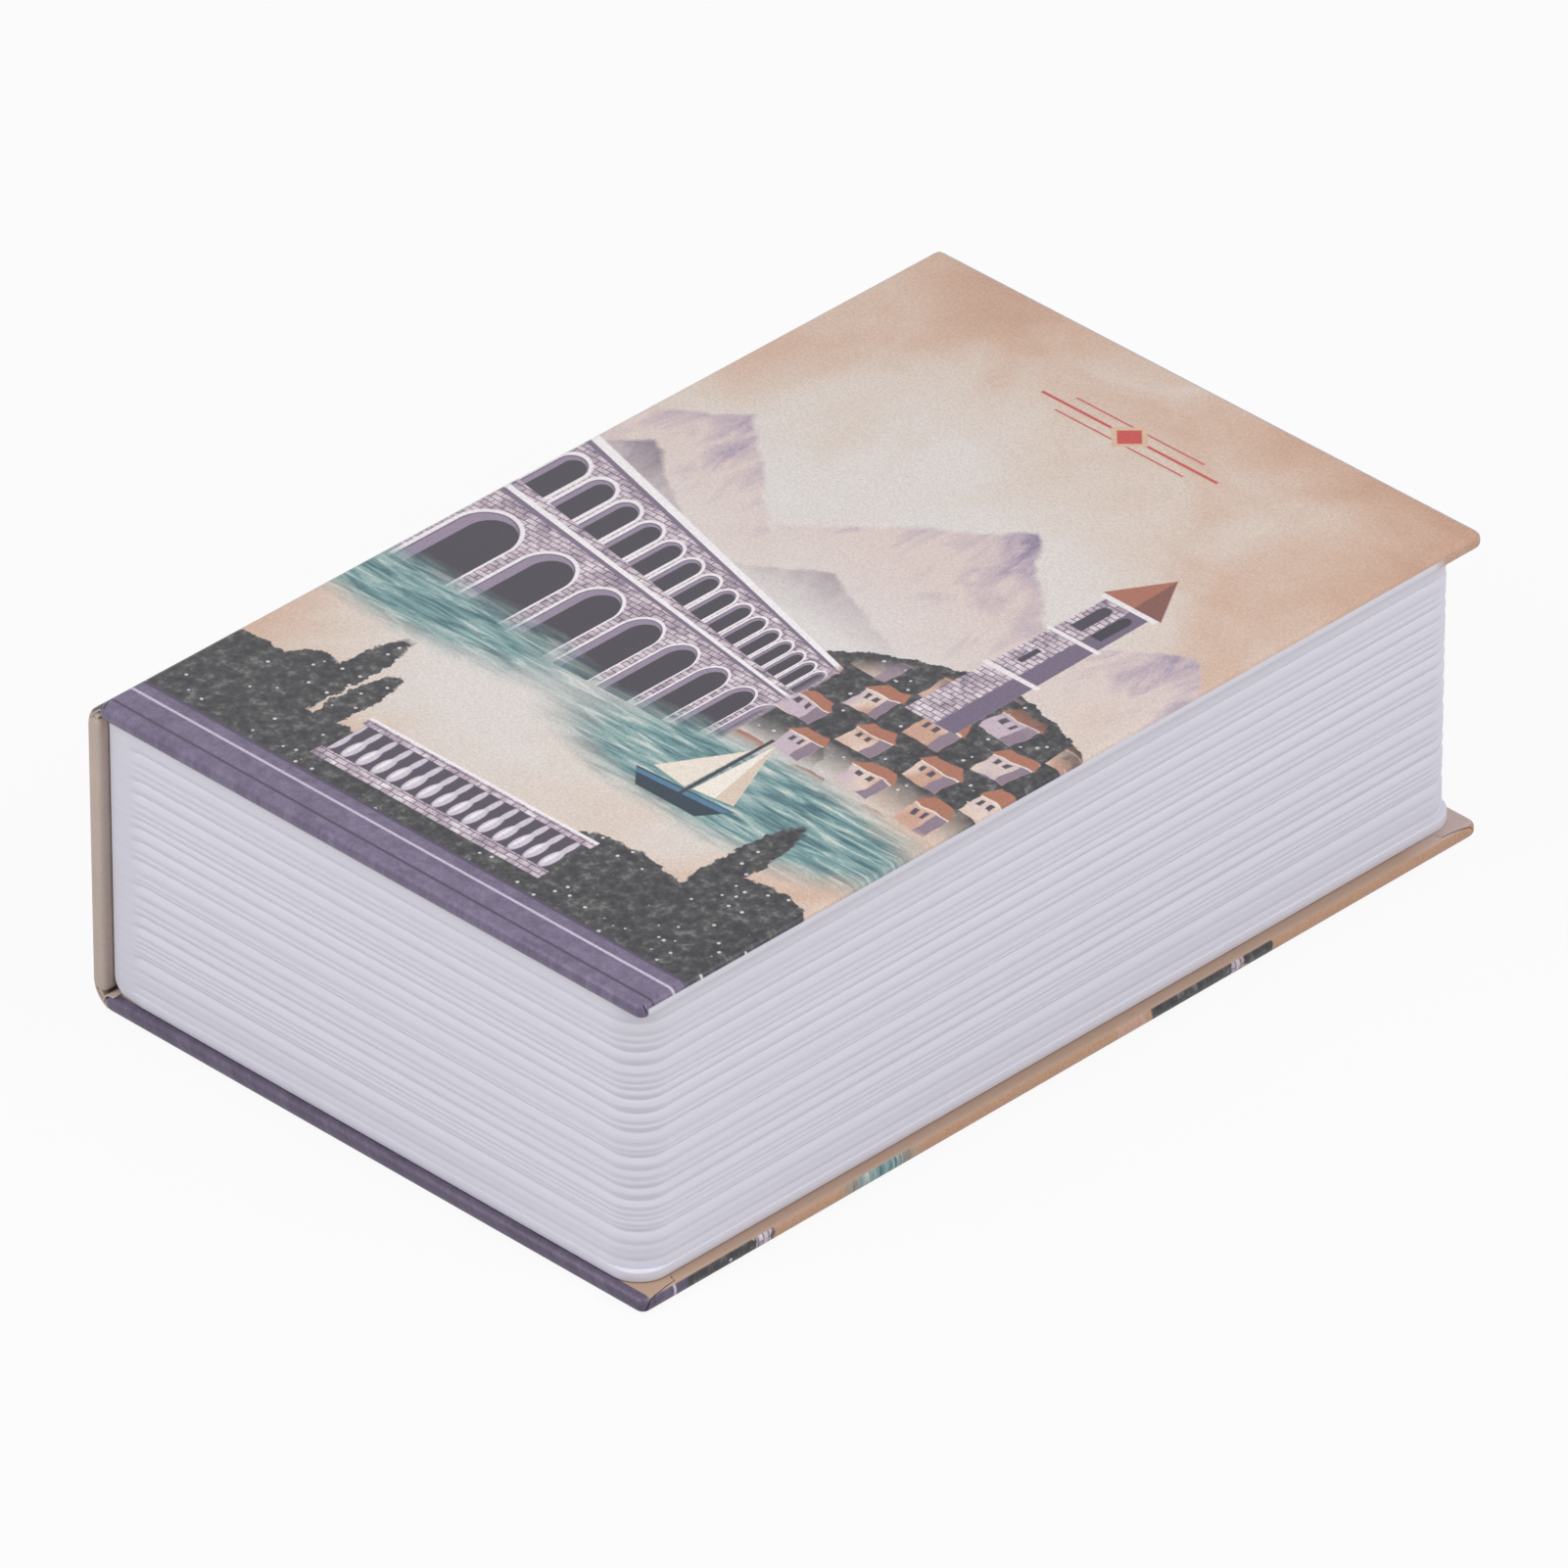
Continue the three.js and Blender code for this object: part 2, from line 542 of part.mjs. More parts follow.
// The housing: a round flange that rests on the lid, and the flatted body that passes through it
function addLockHousing() {
  const headTop = LID_TOP + LOCK_HEAD_HEIGHT;
  const circle = new THREE.Shape();
  circle.absarc(0, 0, LOCK_HEAD_RADIUS, 0, 2 * Math.PI);
  const headGeometry = extruded(circle, [LID_TOP - LOCK_HEAD_EDGE, headTop], LOCK_HEAD_EDGE);
  headGeometry.translate(LOCK_X, TRAY_CENTRE_Y, 0);
  const aboveLid = lockRound(LOCK_HEAD_RADIUS + OVERRUN, [LID_TOP, headTop + OVERRUN]);
  const body = lockSection(0, [LOCK_BOTTOM, LID_TOP + LOCK_HEAD_EDGE]);
  const bore = lockRound(PLUG_RADIUS + PLUG_CLEARANCE, grow([LOCK_BOTTOM, headTop], OVERRUN));
  const head = solidOf(headGeometry).intersect(aboveLid);
  addPiece("lock_housing", "plated_steel", head.add(body).subtract(bore));
}

// The washer and nut that clamp the housing to the lid from below
function addLockFixings() {
  const washerZ = [LID_UNDERSIDE - LOCK_WASHER_THICKNESS, LID_UNDERSIDE];
  const nutZ = [washerZ[0] - LOCK_NUT_HEIGHT, washerZ[0]];
  const hole = LOCK_BODY_RADIUS + LOCK_HOLE_CLEARANCE;
  addPiece("lock_washer", "plated_steel", lockRing(LOCK_WASHER_RADIUS, hole, washerZ));
  addPiece("lock_nut", "brass", lockHexNut(LOCK_NUT_FLATS, hole, nutZ));
}

// The plug turns in the housing. Its square tail drives the cam, and its stud holds the washer and nut.
function addPlugAndCam() {
  const headTop = LID_TOP + LOCK_HEAD_HEIGHT;
  const washerZ = [CAM_BOTTOM - CAM_WASHER_THICKNESS, CAM_BOTTOM];
  const nutZ = [washerZ[0] - CAM_NUT_HEIGHT, washerZ[0]];
  const tail = block(about(LOCK_X, TAIL_SQUARE / 2), about(TRAY_CENTRE_Y, TAIL_SQUARE / 2),
    [CAM_BOTTOM, LOCK_BOTTOM + OVERRUN]);
  const stud = lockRound(STUD_RADIUS, [nutZ[0] - STUD_END, CAM_BOTTOM + OVERRUN]);
  const keyway = block(about(LOCK_X, KEYWAY_LENGTH / 2), about(TRAY_CENTRE_Y, KEYWAY_WIDTH / 2),
    [headTop - KEYWAY_DEPTH, headTop + OVERRUN]);
  const cylinder = lockRound(PLUG_RADIUS, [LOCK_BOTTOM, headTop]);
  addPiece("lock_plug", "brass", cylinder.add(tail).add(stud).subtract(keyway));

  const outline = new THREE.Shape();
  outline.absarc(0, 0, CAM_HUB_RADIUS, Math.PI, 2 * Math.PI);
  outline.absarc(0, CAM_REACH - CAM_TIP_RADIUS, CAM_TIP_RADIUS, 0, Math.PI);
  const camGeometry = extruded(outline, [CAM_BOTTOM, CAM_TOP]);
  camGeometry.translate(LOCK_X, TRAY_CENTRE_Y, 0);
  const halfHole = TAIL_SQUARE / 2 + TAIL_CLEARANCE;
  const hole = block(about(LOCK_X, halfHole), about(TRAY_CENTRE_Y, halfHole),
    grow([CAM_BOTTOM, CAM_TOP], OVERRUN));
  addPiece("lock_cam", "plated_steel", solidOf(camGeometry).subtract(hole));

  const studHole = STUD_RADIUS + TAIL_CLEARANCE;
  addPiece("cam_washer", "plated_steel", lockRing(CAM_WASHER_RADIUS, studHole, washerZ));
  addPiece("cam_nut", "plated_steel", lockHexNut(CAM_NUT_FLATS, studHole, nutZ));
}

// Screws stand on the tray's floor and bite into the moulding's bosses. Each has a domed head with a cross.
function addScrews() {
  const seat = POCKET_FLOOR_TOP + SHEET;
  const top = seat + SCREW_HEAD_HEIGHT;
  const dome = SCREW_HEAD_HEIGHT / 2;
  const recess = [top - SCREW_RECESS, top + OVERRUN];
  screwPlaces().forEach(([x, y], i) => {
    const outline = new THREE.Shape();
    outline.absarc(0, 0, SCREW_HEAD_RADIUS, 0, 2 * Math.PI);
    const headGeometry = extruded(outline, [seat - dome, top], dome);
    headGeometry.translate(x, y, 0);
    const aboveSeat = upright(SCREW_HEAD_RADIUS + OVERRUN, [seat, top + OVERRUN], x, y);
    const head = solidOf(headGeometry).intersect(aboveSeat);
    const shank = upright(SCREW_RADIUS, [seat - SCREW_LENGTH, seat + dome / 2], x, y);
    const alongX = block(about(x, SCREW_RECESS_LENGTH / 2), about(y, SCREW_RECESS_WIDTH / 2), recess);
    const alongY = block(about(x, SCREW_RECESS_WIDTH / 2), about(y, SCREW_RECESS_LENGTH / 2), recess);
    addPiece("tray_screw_" + (i + 1), "plated_steel", head.add(shank).subtract(alongX).subtract(alongY));
  });
}

addCover("back", COVER_THICKNESS, 0);
addCover("front", FRONT_COVER_BASE, BOOK_THICKNESS);
addSpine();
addPageBlock();
addTray();
addHingePin();
addStrike();
addLid();
addLockHousing();
addLockFixings();
addPlugAndCam();
addScrews();

export default book;
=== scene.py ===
import math

import bmesh
import bpy
from bpy.props import FloatProperty, FloatVectorProperty, IntProperty, PointerProperty
from mathutils import Matrix, Vector


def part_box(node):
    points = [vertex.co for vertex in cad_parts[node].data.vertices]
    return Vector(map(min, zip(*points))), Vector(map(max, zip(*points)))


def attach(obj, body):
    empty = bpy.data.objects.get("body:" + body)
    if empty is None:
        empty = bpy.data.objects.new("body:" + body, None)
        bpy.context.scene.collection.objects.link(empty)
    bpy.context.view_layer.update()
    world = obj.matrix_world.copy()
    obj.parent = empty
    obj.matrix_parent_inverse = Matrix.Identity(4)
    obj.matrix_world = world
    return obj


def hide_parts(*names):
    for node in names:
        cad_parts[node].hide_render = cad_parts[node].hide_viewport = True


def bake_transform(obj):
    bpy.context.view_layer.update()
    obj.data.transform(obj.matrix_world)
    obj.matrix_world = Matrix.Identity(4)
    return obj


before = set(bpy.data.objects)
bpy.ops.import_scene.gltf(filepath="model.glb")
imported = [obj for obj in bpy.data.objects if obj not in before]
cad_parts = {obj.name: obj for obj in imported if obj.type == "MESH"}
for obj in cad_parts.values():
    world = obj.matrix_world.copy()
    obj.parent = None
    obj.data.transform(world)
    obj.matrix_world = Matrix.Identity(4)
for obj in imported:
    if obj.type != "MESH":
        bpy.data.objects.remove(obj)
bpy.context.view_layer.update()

bl_info = {
    "name": "Book Safe Finish",
    "version": (1, 0, 0),
    "blender": (4, 5, 0),
    "location": "View3D > Sidebar > Book Safe",
    "description": "Dresses the packed book safe: printed case, page-like moulding, steel box and lock",
    "category": "Object",
}

MM = 0.001

# The photograph's camera, fitted to the corners of the covers
VIEW_AZIMUTH = math.radians(44.66)
VIEW_ELEVATION = math.radians(33.56)
VIEW_LENS = 476.6
VIEW_SENSOR = 36.0
VIEW_DISTANCE = 3.128
VIEW_CENTRE = Vector((1.1, 0, 27.5)) * MM
VIEW_OFFSET = Vector((1.6, 2.1, 0)) * MM

# Outside of the folded paper at a joint, in mm: in from the spine's face, and from the cover's outer face
JOINT_PATH = (
    (0.15, 5.6), (0.1, 4.6), (0.15, 3.6), (0.5, 2.5), (1.1, 1.6), (1.8, 0.95), (2.4, 0.55), (3.0, 0.25),
)

# The thin lining that folds over the back cover's edge at the foot of the spine, measured the same way
LINING_PATH = ((1.95, 1.1), (2.1, 1.7), (2.4, 2.4), (2.9, 2.85), (3.6, 3.0), (4.4, 2.95))

# How far the papers of a joint stop short of the spine's ends, and where the tucks lie there
JOINT_END = 0.35 * MM
LINING_END = 0.3 * MM
TUCK_MIDDLE = 1.15 * MM
TUCK_REACH = 0.6 * MM
LINING_GAP = 0.02 * MM
FOLD_EDGE = 0.1 * MM

# Slit where the turn-ins meet at a fore-edge corner, in mm: back from the fore-edge, in from the tail or head
# end, and from the outer face
SLIT_PATH = (
    (0.2, 0.4, 0.1), (0.05, 1.1, 1.2), (0.1, 1.7, 2.2), (0.3, 3.0, 2.45), (0.6, 5.5, 2.6), (0.7, 7.4, 2.68),
    (1.7, 7.6, 2.75),
)
SLIT_ENDS = ((-0.3, -0.3, 0.2), (0.5, 0.3, -0.35))

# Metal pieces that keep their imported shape: body, material slot, nodes
METAL_PIECES = (
    ("book_base", "box_enamel", ("steel_tray", "strike_plate")),
    ("lid", "box_enamel", ("steel_lid",)),
    ("book_base", "plated_steel", (
        "hinge_pin", "tray_screw_1", "tray_screw_2", "tray_screw_3", "tray_screw_4")),
    ("lid", "plated_steel", ("lock_washer",)),
    ("lid", "lock_brass", ("lock_nut",)),
    ("lock", "plated_steel", ("lock_cam", "cam_washer", "cam_nut")),
)

# Softboxes: name, place and width in metres, watts
SOFTBOXES = (
    ("overhead_softbox", (0, 0, 1.3), 1.0, 2),
    ("left_softbox", (-0.3, -1.1, 1.0), 0.8, 11.1),
    ("right_softbox", (1.1, 0.3, 1.0), 0.8, 11.1),
)
FLOOR_WIDTH = 6
FLOOR_DROP = 0.2 * MM
FLOOR_WHITE_SHARE = 0.92
WORLD_STRENGTH = 0.25

# How far cutting tools run past what they cut, and how far the plug's packed tail runs up into the new core
OVERRUN = 1 * MM
TAIL_OVERLAP = 0.3 * MM

# Cosine above which a direction counts as straight, and angles in degrees
STRAIGHT = 0.99
SMOOTH_ANGLE = 35
PAGE_SMOOTH_ANGLE = 40
METAL_BEVEL_ANGLE = 30
FOLD_BEVEL_ANGLE = 60
FLAT_ANGLE = 1

MERGE_REACH = 0.001 * MM
ROUND_SIDES = 96
FOOT_SIDES = 80
CORNER_STEPS = 14
FADE_STATIONS = 6

# Where a cover's print gives way to plain paper, in mm from a face or an edge: where the change begins, and
# where it is full
BARE_BELOW_FACE = (-0.75, -1.0)
BARE_FROM_EDGE = (-1.4, -1.2)
BARE_FROM_TAIL = (1.3, 1.6)
BARE_TO_HEAD = (-8.5, -11)
TURNED_AT_JOINT = (0.9, 0.3)
TURNED_AT_FRONT = (0.5, 0.35)
TURNED_AT_BACK = (-0.4, -0.25)
LEDGE_FROM_TAIL = (1.6, 1.7)
PALE_TO_HEAD = (-16, -5)

# Grooves between bundles of pages: height above the table in mm, and share of the full depth
GROOVES = (
    (6.1, 0.3), (8.9, 0.3), (11.2, 1.0), (12.1, 0.45), (13.2, 0.45), (14.0, 0.45), (15.1, 0.35), (16.8, 1.0),
    (19.0, 0.8), (20.4, 0.4), (22.2, 0.6), (24.4, 1.0), (25.4, 0.45), (26.6, 0.45), (28.9, 1.0), (30.4, 0.45),
    (32.3, 0.95), (34.7, 1.0), (36.4, 0.7), (37.6, 0.4), (38.9, 0.45), (40.8, 0.9), (43.2, 0.95),
    (44.8, 0.45), (46.1, 0.4), (48.3, 0.8),
)

# Inks that are noise on a ramp of colours: grain in mm, detail, roughness and stops
NOISE_INKS = (
    ("leaf", 1.6, 5.0, 0.65, ((0.36, "#222127"), (0.47, "#353439"), (0.56, "#464647"), (0.66, "#6E6D6E"))),
    ("stone", 3.2, 5.0, 0.7, ((0.32, "#8F8296"), (0.44, "#B7A9B4"), (0.54, "#D9CCD2"), (0.66, "#F1EAEC"))),
    ("stucco", 14, 1.0, 0.5, ((0.4, "#C99F8C"), (0.5, "#E2CDBF"), (0.6, "#C7B4C0"))),
    ("band", 2.2, 5.0, 0.75, ((0.36, "#625771"), (0.5, "#6F647F"), (0.64, "#7C718B"))),
)

# The cover's picture, made up for this book. Each form has an ink, a hex colour or one of the mixed inks, and
# its corners, its centre and radii, or a box's left, foot, right and top, in mm from the spine edge and tail.
MOUNTAINS = (
    ("mist", (-30, 88), (58, 88), (13, 126)),
    ("mist", (56, 88), (150, 88), (108, 124)),
    ("mist", (18, 88), (116, 88), (67, 132)),
    ("ridge", (-14, 86), (42, 86), (8, 110)),
    ("ridge", (30, 86), (92, 86), (53, 103)),
)
HILL = (
    ("leaf", (95, 62), (38, 36)),
    ("leaf", (60, 62), (28, 15)),
)
# One house and one tree, repeated over the hill
HOUSE = (
    ("stucco", (-3.4, -4, 3.6, 1.6)),
    ("#8B7888", (1.4, -4, 3.6, 1.6)),
    ("#A9705C", (-4.1, 1.4), (4.2, 1.4), (2.6, 3.9), (-2.2, 3.9)),
    ("#4A4150", (-2.3, -0.9, -1.4, 0.6)),
    ("#4A4150", (-0.4, -0.9, 0.5, 0.6)),
    ("#EADFD8", (-3.5, 1.15, 3.7, 1.45)),
)
TOWER = (
    ("stone", (86.4, 84), (96.8, 84), (96, 127), (87.2, 127)),
    ("#6F6279", (92.6, 84), (96.8, 84), (96, 127), (92.4, 127)),
    ("#EDE6EA", (85.9, 101, 97.3, 102)),
    ("#EDE6EA", (86.2, 114.4, 97, 115.3)),
    ("#EDE6EA", (86, 126.4, 97.2, 127.6)),
    ("#3E3746", (88.4, 117.4, 90.8, 123.6)),
    ("#3E3746", (89.6, 123.4), (1.2, 1.5)),
    ("#2F2A37", (92.6, 117.4, 94.8, 123.6)),
    ("#2F2A37", (93.7, 123.4), (1.1, 1.5)),
    ("#3E3746", (89.2, 105, 90.4, 109.4)),
    ("#A66A57", (85.6, 127.5), (97.6, 127.5), (91.6, 137.5)),
    ("#7E5048", (92, 127.5), (97.6, 127.5), (91.6, 137.5)),
)
# The bridge seen straight on, before it is put in perspective: its walls, and its rows of arches with their
# pitch, half width, foot and springing height
BRIDGE = (
    ("stone", (-9, -2, 150, 47)),
    ("#F4EEF0", (-9, 45.6, 150, 47.4)),
    ("#776A80", (-9, 44.6, 150, 45.6)),
    ("#F4EEF0", (-9, 27, 150, 28.2)),
    ("#776A80", (-9, 26, 150, 27)),
)
ARCHES = ((17, 6, -3, 16), (8.5, 2.9, 30, 38.6))
# Height of its foot on the sheet, where it ends on the right, and the length at which it would vanish
BRIDGE_FOOT = 58
BRIDGE_END = (73, 71)
VANISHING_LENGTH = 170
LAKE = (("water", (86, 50), (35, 11)), ("water", (12, 54), (34, 7)))
BOAT = (
    ("#20303F", (69, 45), (72.4, 41.2), (84.8, 41.2), (88.4, 46)),
    ("#4E7796", (69.2, 44.6), (70.2, 43.7), (87, 44.6), (88.2, 45.8)),
    ("#F1E8DD", (79.4, 46.2), (87, 47.2), (80.2, 63)),
    ("#D9C6B6", (83.6, 46.8), (87, 47.2), (80.2, 63)),
    ("#EBDFD2", (70.8, 46.8), (78.2, 45.8), (78.4, 59.5)),
    ("#3A3038", (78.5, 44, 79.2, 64)),
)
SHRUBS = (
    ("leaf", (-5, 6, 120, 15.5)),
    ("leaf", (6, 20), (13, 10)),
    ("leaf", (31, 14), (15, 8)),
    ("leaf", (86, 18), (17, 11)),
    ("leaf", (108, 22), (13, 14)),
    ("leaf", (21, 31), (3, 14)),
    ("leaf", (27, 26), (2.6, 11)),
    ("leaf", (98.5, 36), (3.2, 14)),
    ("leaf", (15.5, 25), (6.5, 9)),
)
TERRACE = (
    ("#4A4252", (33, 15, 79, 25)),
    ("stone", (32, 24.2, 80, 26.2)),
    ("stone", (32, 13.4, 80, 15.8)),
    ("#F3EDF2", (32, 25.7, 80, 26.3)),
)
# One baluster, repeated along the terrace between its rails
RAILED = ((33, 15.8), (79, 15.8), (79, 24.2), (33, 24.2))
BALUSTER = (
    ("#CFC6D2", (0, 18.4), (1.05, 2.6)),
    ("#CFC6D2", (0, 22.2), (0.6, 2.4)),
    ("#F0EAF0", (-0.3, 18.6), (0.35, 1.9)),
)
# How soft a printed form's outline is, and a pitch so long that nothing on the sheet repeats by it
PRINT_BLUR = 0.12
NO_REPEAT = 2000
# The band along the tail. Its pale line is a painted highlight and its dark line below is painted shade, as
# light would fall on a rolled edge. A dark line runs along the band's top.
TAIL_BAND = (
    ("band", (-9, -9, 125, 9.4)),
    ("#C9C0D3", (-9, 6.5, 125, 7.0)),
    ("#463C50", (-9, 2.3, 125, 2.8)),
    ("#4A4056", (-9, 9.0, 125, 9.6)),
)
# Dark strokes painted as the shade in pleats of the film at the corner by the spine, over a grey patch there,
# and a pale line along the head edge
FRONT_EDGES = (
    ("#716F74", (-3, 3), (0.8, 2.4), (1.5, 0.1), (0.5, -0.1), (-3, -0.1)),
    ("#2F2C35", (0.75, 2.05), (1.0, 2.05), (1.5, 0.3), (1.2, 0.3)),
    ("#2F2C35", (0.3, 1.5), (0.48, 1.5), (0.85, 0.2), (0.65, 0.2)),
    ("#2F2C35", (-0.15, 1.2), (0.0, 1.2), (0.3, 0.1), (0.12, 0.1)),
    ("#B5AFBA", (-3, 179.1, 120, 182)),
)
ORNAMENT = (
    ("#C24A45", (40, 161.1, 77, 161.7)),
    ("#C24A45", (45, 163.6, 72, 163.95)),
    ("#C24A45", (45, 158.9, 72, 159.25)),
    ("#D8B79C", (54.6, 161.4), (58.5, 157.5), (62.4, 161.4), (58.5, 165.3)),
    ("#C24A45", (55.8, 161.4), (58.5, 158.7), (61.2, 161.4), (58.5, 164.1)),
)
# The back cover has its own quieter picture, with patches of it along the fore-edge that it runs over
BACK_MOUNTAINS = (
    ("ridge", (-20, 66), (66, 66), (22, 108)),
    ("ridge", (26, 66), (112, 66), (70, 97)),
    ("ridge", (-16, 60), (44, 60), (6, 86)),
)
BACK_HILL = (
    ("leaf", (26, 54), (36, 26)),
    ("leaf", (62, 54), (22, 9)),
)
BACK_LAKE = (("water", (96, 50), (44, 7)), ("water", (22, 46), (40, 8)))
BACK_PLANTS = (
    ("leaf", (-9, 6, 125, 14)),
    ("leaf", (12, 14), (16, 9)),
    ("leaf", (52, 12), (17, 7)),
    ("leaf", (92, 16), (20, 7)),
    ("leaf", (112, 22), (14, 6)),
    ("leaf", (66, 22), (2.8, 13)),
    ("leaf", (73, 19), (2.4, 10)),
    ("leaf", (30, 22), (3, 12)),
    ("leaf", (110, 117), (13, 2.2)),
    ("leaf", (99, 114.5), (8, 1.5)),
    ("leaf", (115, 120.5), (9, 1.6)),
    ("leaf", (117, 117), (4, 9)),
    ("leaf", (117, 131.5), (2.8, 3)),
    ("leaf", (116, 15), (6, 9)),
    ("stone", (113.8, 125.5), (119, 125.5), (119, 128.5), (113.8, 128)),
    ("stucco", (114.2, 101), (119, 100), (119, 106), (114.6, 107)),
    ("stone", (114, 24), (119, 23.6), (119, 27.4), (114, 26.6)),
)
BACK_EDGE = (("#C0967A", (113, 9.6, 122, 183)),)


def linear(hex_text):
    """A colour written as sRGB hex, as the linear RGBA that nodes take."""
    channels = [int(hex_text[i:i + 2], 16) / 255 for i in (1, 3, 5)]
    return [c / 12.92 if c <= 0.04045 else ((c + 0.055) / 1.055) ** 2.4 for c in channels] + [1.0]


def size(name, default_mm, description):
    return FloatProperty(name=name, description=description, default=default_mm * MM, min=0, unit="LENGTH",
                         precision=5)


def colour(name, hex_text, description):
    return FloatVectorProperty(name=name, description=description, default=linear(hex_text)[:3], size=3,
                               min=0, max=1, subtype="COLOR")


class BookSafeSizes(bpy.types.PropertyGroup):
    """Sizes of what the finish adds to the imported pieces"""
    paper: size("Wrap paper", 0.3, "Thickness of the printed paper with its glue")
    cover_corner: size("Cover corner", 1.6, "Plan radius of the covers' corners")
    cover_edge: size("Cover edge", 1.15, "Radius of the covers' wrapped edges")
    spine_outer_edge: size("Spine outer edge", 1.5, "Radius of the spine's outer long edges")
    spine_inner_edge: size("Spine inner edge", 1.2, "Radius of the spine's inner long edges")
    spine_end_edge: size("Spine end edge", 0.8, "Radius of the edges at the spine's ends")
    joint_paper: size("Joint paper", 0.4, "Thickness of the folded paper at the joints")
    front_tuck: size("Front tuck", 1.5, "Thickness of the paper tucked in at the ends of the front joint")
    back_tuck: size("Back tuck", 1.0, "Thickness of the paper tucked in at the ends of the back joint")
    slit: size("Slit", 0.18, "Width of the slits where the turn-ins meet")
    page_corner: size("Page corner", 6.5, "Plan radius of the moulded page block at the fore-edge")
    lip_corner: size("Lip corner", 5.5, "Plan radius of the moulding's base lip")
    lip_height: size("Lip height", 2.0, "Height of the moulding's base lip")
    lip_proud: size("Lip proud", 0.28, "How far the base lip stands out from the pages")
    lip_taper: size("Lip taper", 0.3, "How far the lip's ends run in behind the plain band")
    lip_edge: size("Lip edge", 0.25, "Radius of the base lip's upper edge")
    foot_gap: size("Foot gap", 0.4, "Height of the crease between the moulding and the back cover")
    foot_radius: size("Foot radius", 3.5, "Radius of the moulding's foot along the spine")
    rim: size("Rim", 9.0, "Width of the moulding's rim round the pocket")
    pocket_corner: size("Pocket corner", 2.0, "Plan radius of the pocket")
    pocket_floor: size("Pocket floor", 4.0, "Height of the pocket's floor above the moulding's foot")
    groove_depth: size("Groove depth", 0.6, "Depth of the deepest groove between bundles of pages")
    corner_softness: FloatProperty(
        name="Corner softness", description="Share of a groove's depth lost at a corner", default=0.45,
        min=0, max=1)
    bundle_edge: size("Bundle edge", 1.6, "How far a deep groove's rounded sides reach up and down")
    plain_band: size("Plain band", 3.8, "Width of the smooth band beside the spine")
    groove_fade: size("Groove fade", 2.2, "Length over which the grooves run out into the plain band")
    wall_span: size("Wall span", 9.0, "Length of the spans that the page wall is cut into")
    metal_edge: size("Metal edge", 0.12, "Width of the broken edges on folded and turned metal")
    lock_body: size("Lock body", 6.5, "Radius of the lock's body below the lid")
    lock_flats: size("Lock flats", 6.0, "Distance of the body's two flats from its axis")
    flange_edge: size("Flange edge", 0.5, "Radius of the outer edge of the lock's head")
    plug_gap: size("Plug gap", 0.12, "Clearance of the plug in its housing")
    plug_edge: size("Plug edge", 0.25, "Radius of the plug's front edge")
    lock_face: size("Lock face", 6.3, "Radius of the sunk face of the lock's head")
    lock_face_depth: size("Lock face depth", 0.3, "How far the face of the lock's head is sunk")
    keyway_length: size("Keyway length", 7.0, "Length of the slot for the key")
    keyway_width: size("Keyway width", 1.3, "Width of the slot for the key")
    keyway_depth: size("Keyway depth", 12.0, "Depth of the slot for the key")
    notch_length: size("Notch length", 1.4, "Length of the wider part of the keyway")
    notch_width: size("Notch width", 2.1, "Width of the wider part of the keyway")
    notch_shift: size("Notch shift", 0.9, "How far the wider part lies from the lock's axis")
    groove_rows: IntProperty(
        name="Groove rows", description="Cuts made twice over the page wall's height", default=17,
        min=4, max=40)


class BookSafeColours(bpy.types.PropertyGroup):
    """Colours of the finishes"""
    paper: colour("Tan paper", "#C2B0A6", "Turned-in border and spine")
    endpaper: colour("Endpaper", "#C9A98D", "Uncoated endpapers")
    # Partly painted shade: the turned-in paper is darker than the endpaper, for the page block's shade over
    # the back cover's ledge
    shaded_turn_in: colour("Turned-in paper", "#B09480", "Border round the inside of the back cover")
    pages: colour("Page moulding", "#E0DEEA", "White moulded plastic of the page block")
    enamel: colour("Box enamel", "#1E1E21", "Powder coat on the steel box")
    zinc: colour("Zinc plate", "#B9BBBE", "Bright plate on small steel pieces")
    chrome: colour("Chrome plate", "#C9C9CE", "Nickel-chrome plate on the lock")
    brass: colour("Brass", "#B5975A", "Machined brass")
    board: colour("Greyboard", "#9C948A", "Pressed board inside the covers")


def sizes():
    return bpy.context.scene.book_safe_sizes


def tint(name):
    return [*getattr(bpy.context.scene.book_safe_colours, name), 1.0]


# Modelling helpers

def clear_selection():
    """Leaves edit mode and deselects everything."""
    if bpy.context.mode != "OBJECT":
        bpy.ops.object.mode_set(mode="OBJECT")
    bpy.ops.object.select_all(action="DESELECT")


def hold(piece):
    """Leaves edit mode with only this piece selected and active."""
    clear_selection()
    piece.select_set(True)
    bpy.context.view_layer.objects.active = piece


def start(name):
    """Names the primitive that was just added and opens it for editing."""
    piece = bpy.context.object
    piece.name = name
    piece.data.name = name
    bpy.ops.object.transform_apply(location=True, rotation=True, scale=True)
    bpy.ops.object.mode_set(mode="EDIT")
    return piece


def start_block(name, low, high):
    clear_selection()
    bpy.ops.mesh.primitive_cube_add(size=1, location=(low + high) / 2, scale=high - low)
    return start(name)


def start_sheet(name, low, high):
    clear_selection()
    bpy.ops.mesh.primitive_plane_add(size=1, location=(low + high) / 2)
    bpy.ops.transform.resize(value=(high.x - low.x, high.y - low.y, 1))
    return start(name)


def start_copy(name, node):
    """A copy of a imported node's mesh, merged and open for editing."""
    piece = bpy.data.objects.new(name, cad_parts[node].data.copy())
    bpy.context.collection.objects.link(piece)
    hold(piece)
    bpy.ops.object.mode_set(mode="EDIT")
    bpy.ops.mesh.select_all(action="SELECT")
    bpy.ops.mesh.remove_doubles(threshold=MERGE_REACH)
    return piece


def face_out():
    """In edit mode, selects all and turns all faces outwards."""
    bpy.ops.mesh.select_all(action="SELECT")
    bpy.ops.mesh.normals_make_consistent(inside=False)


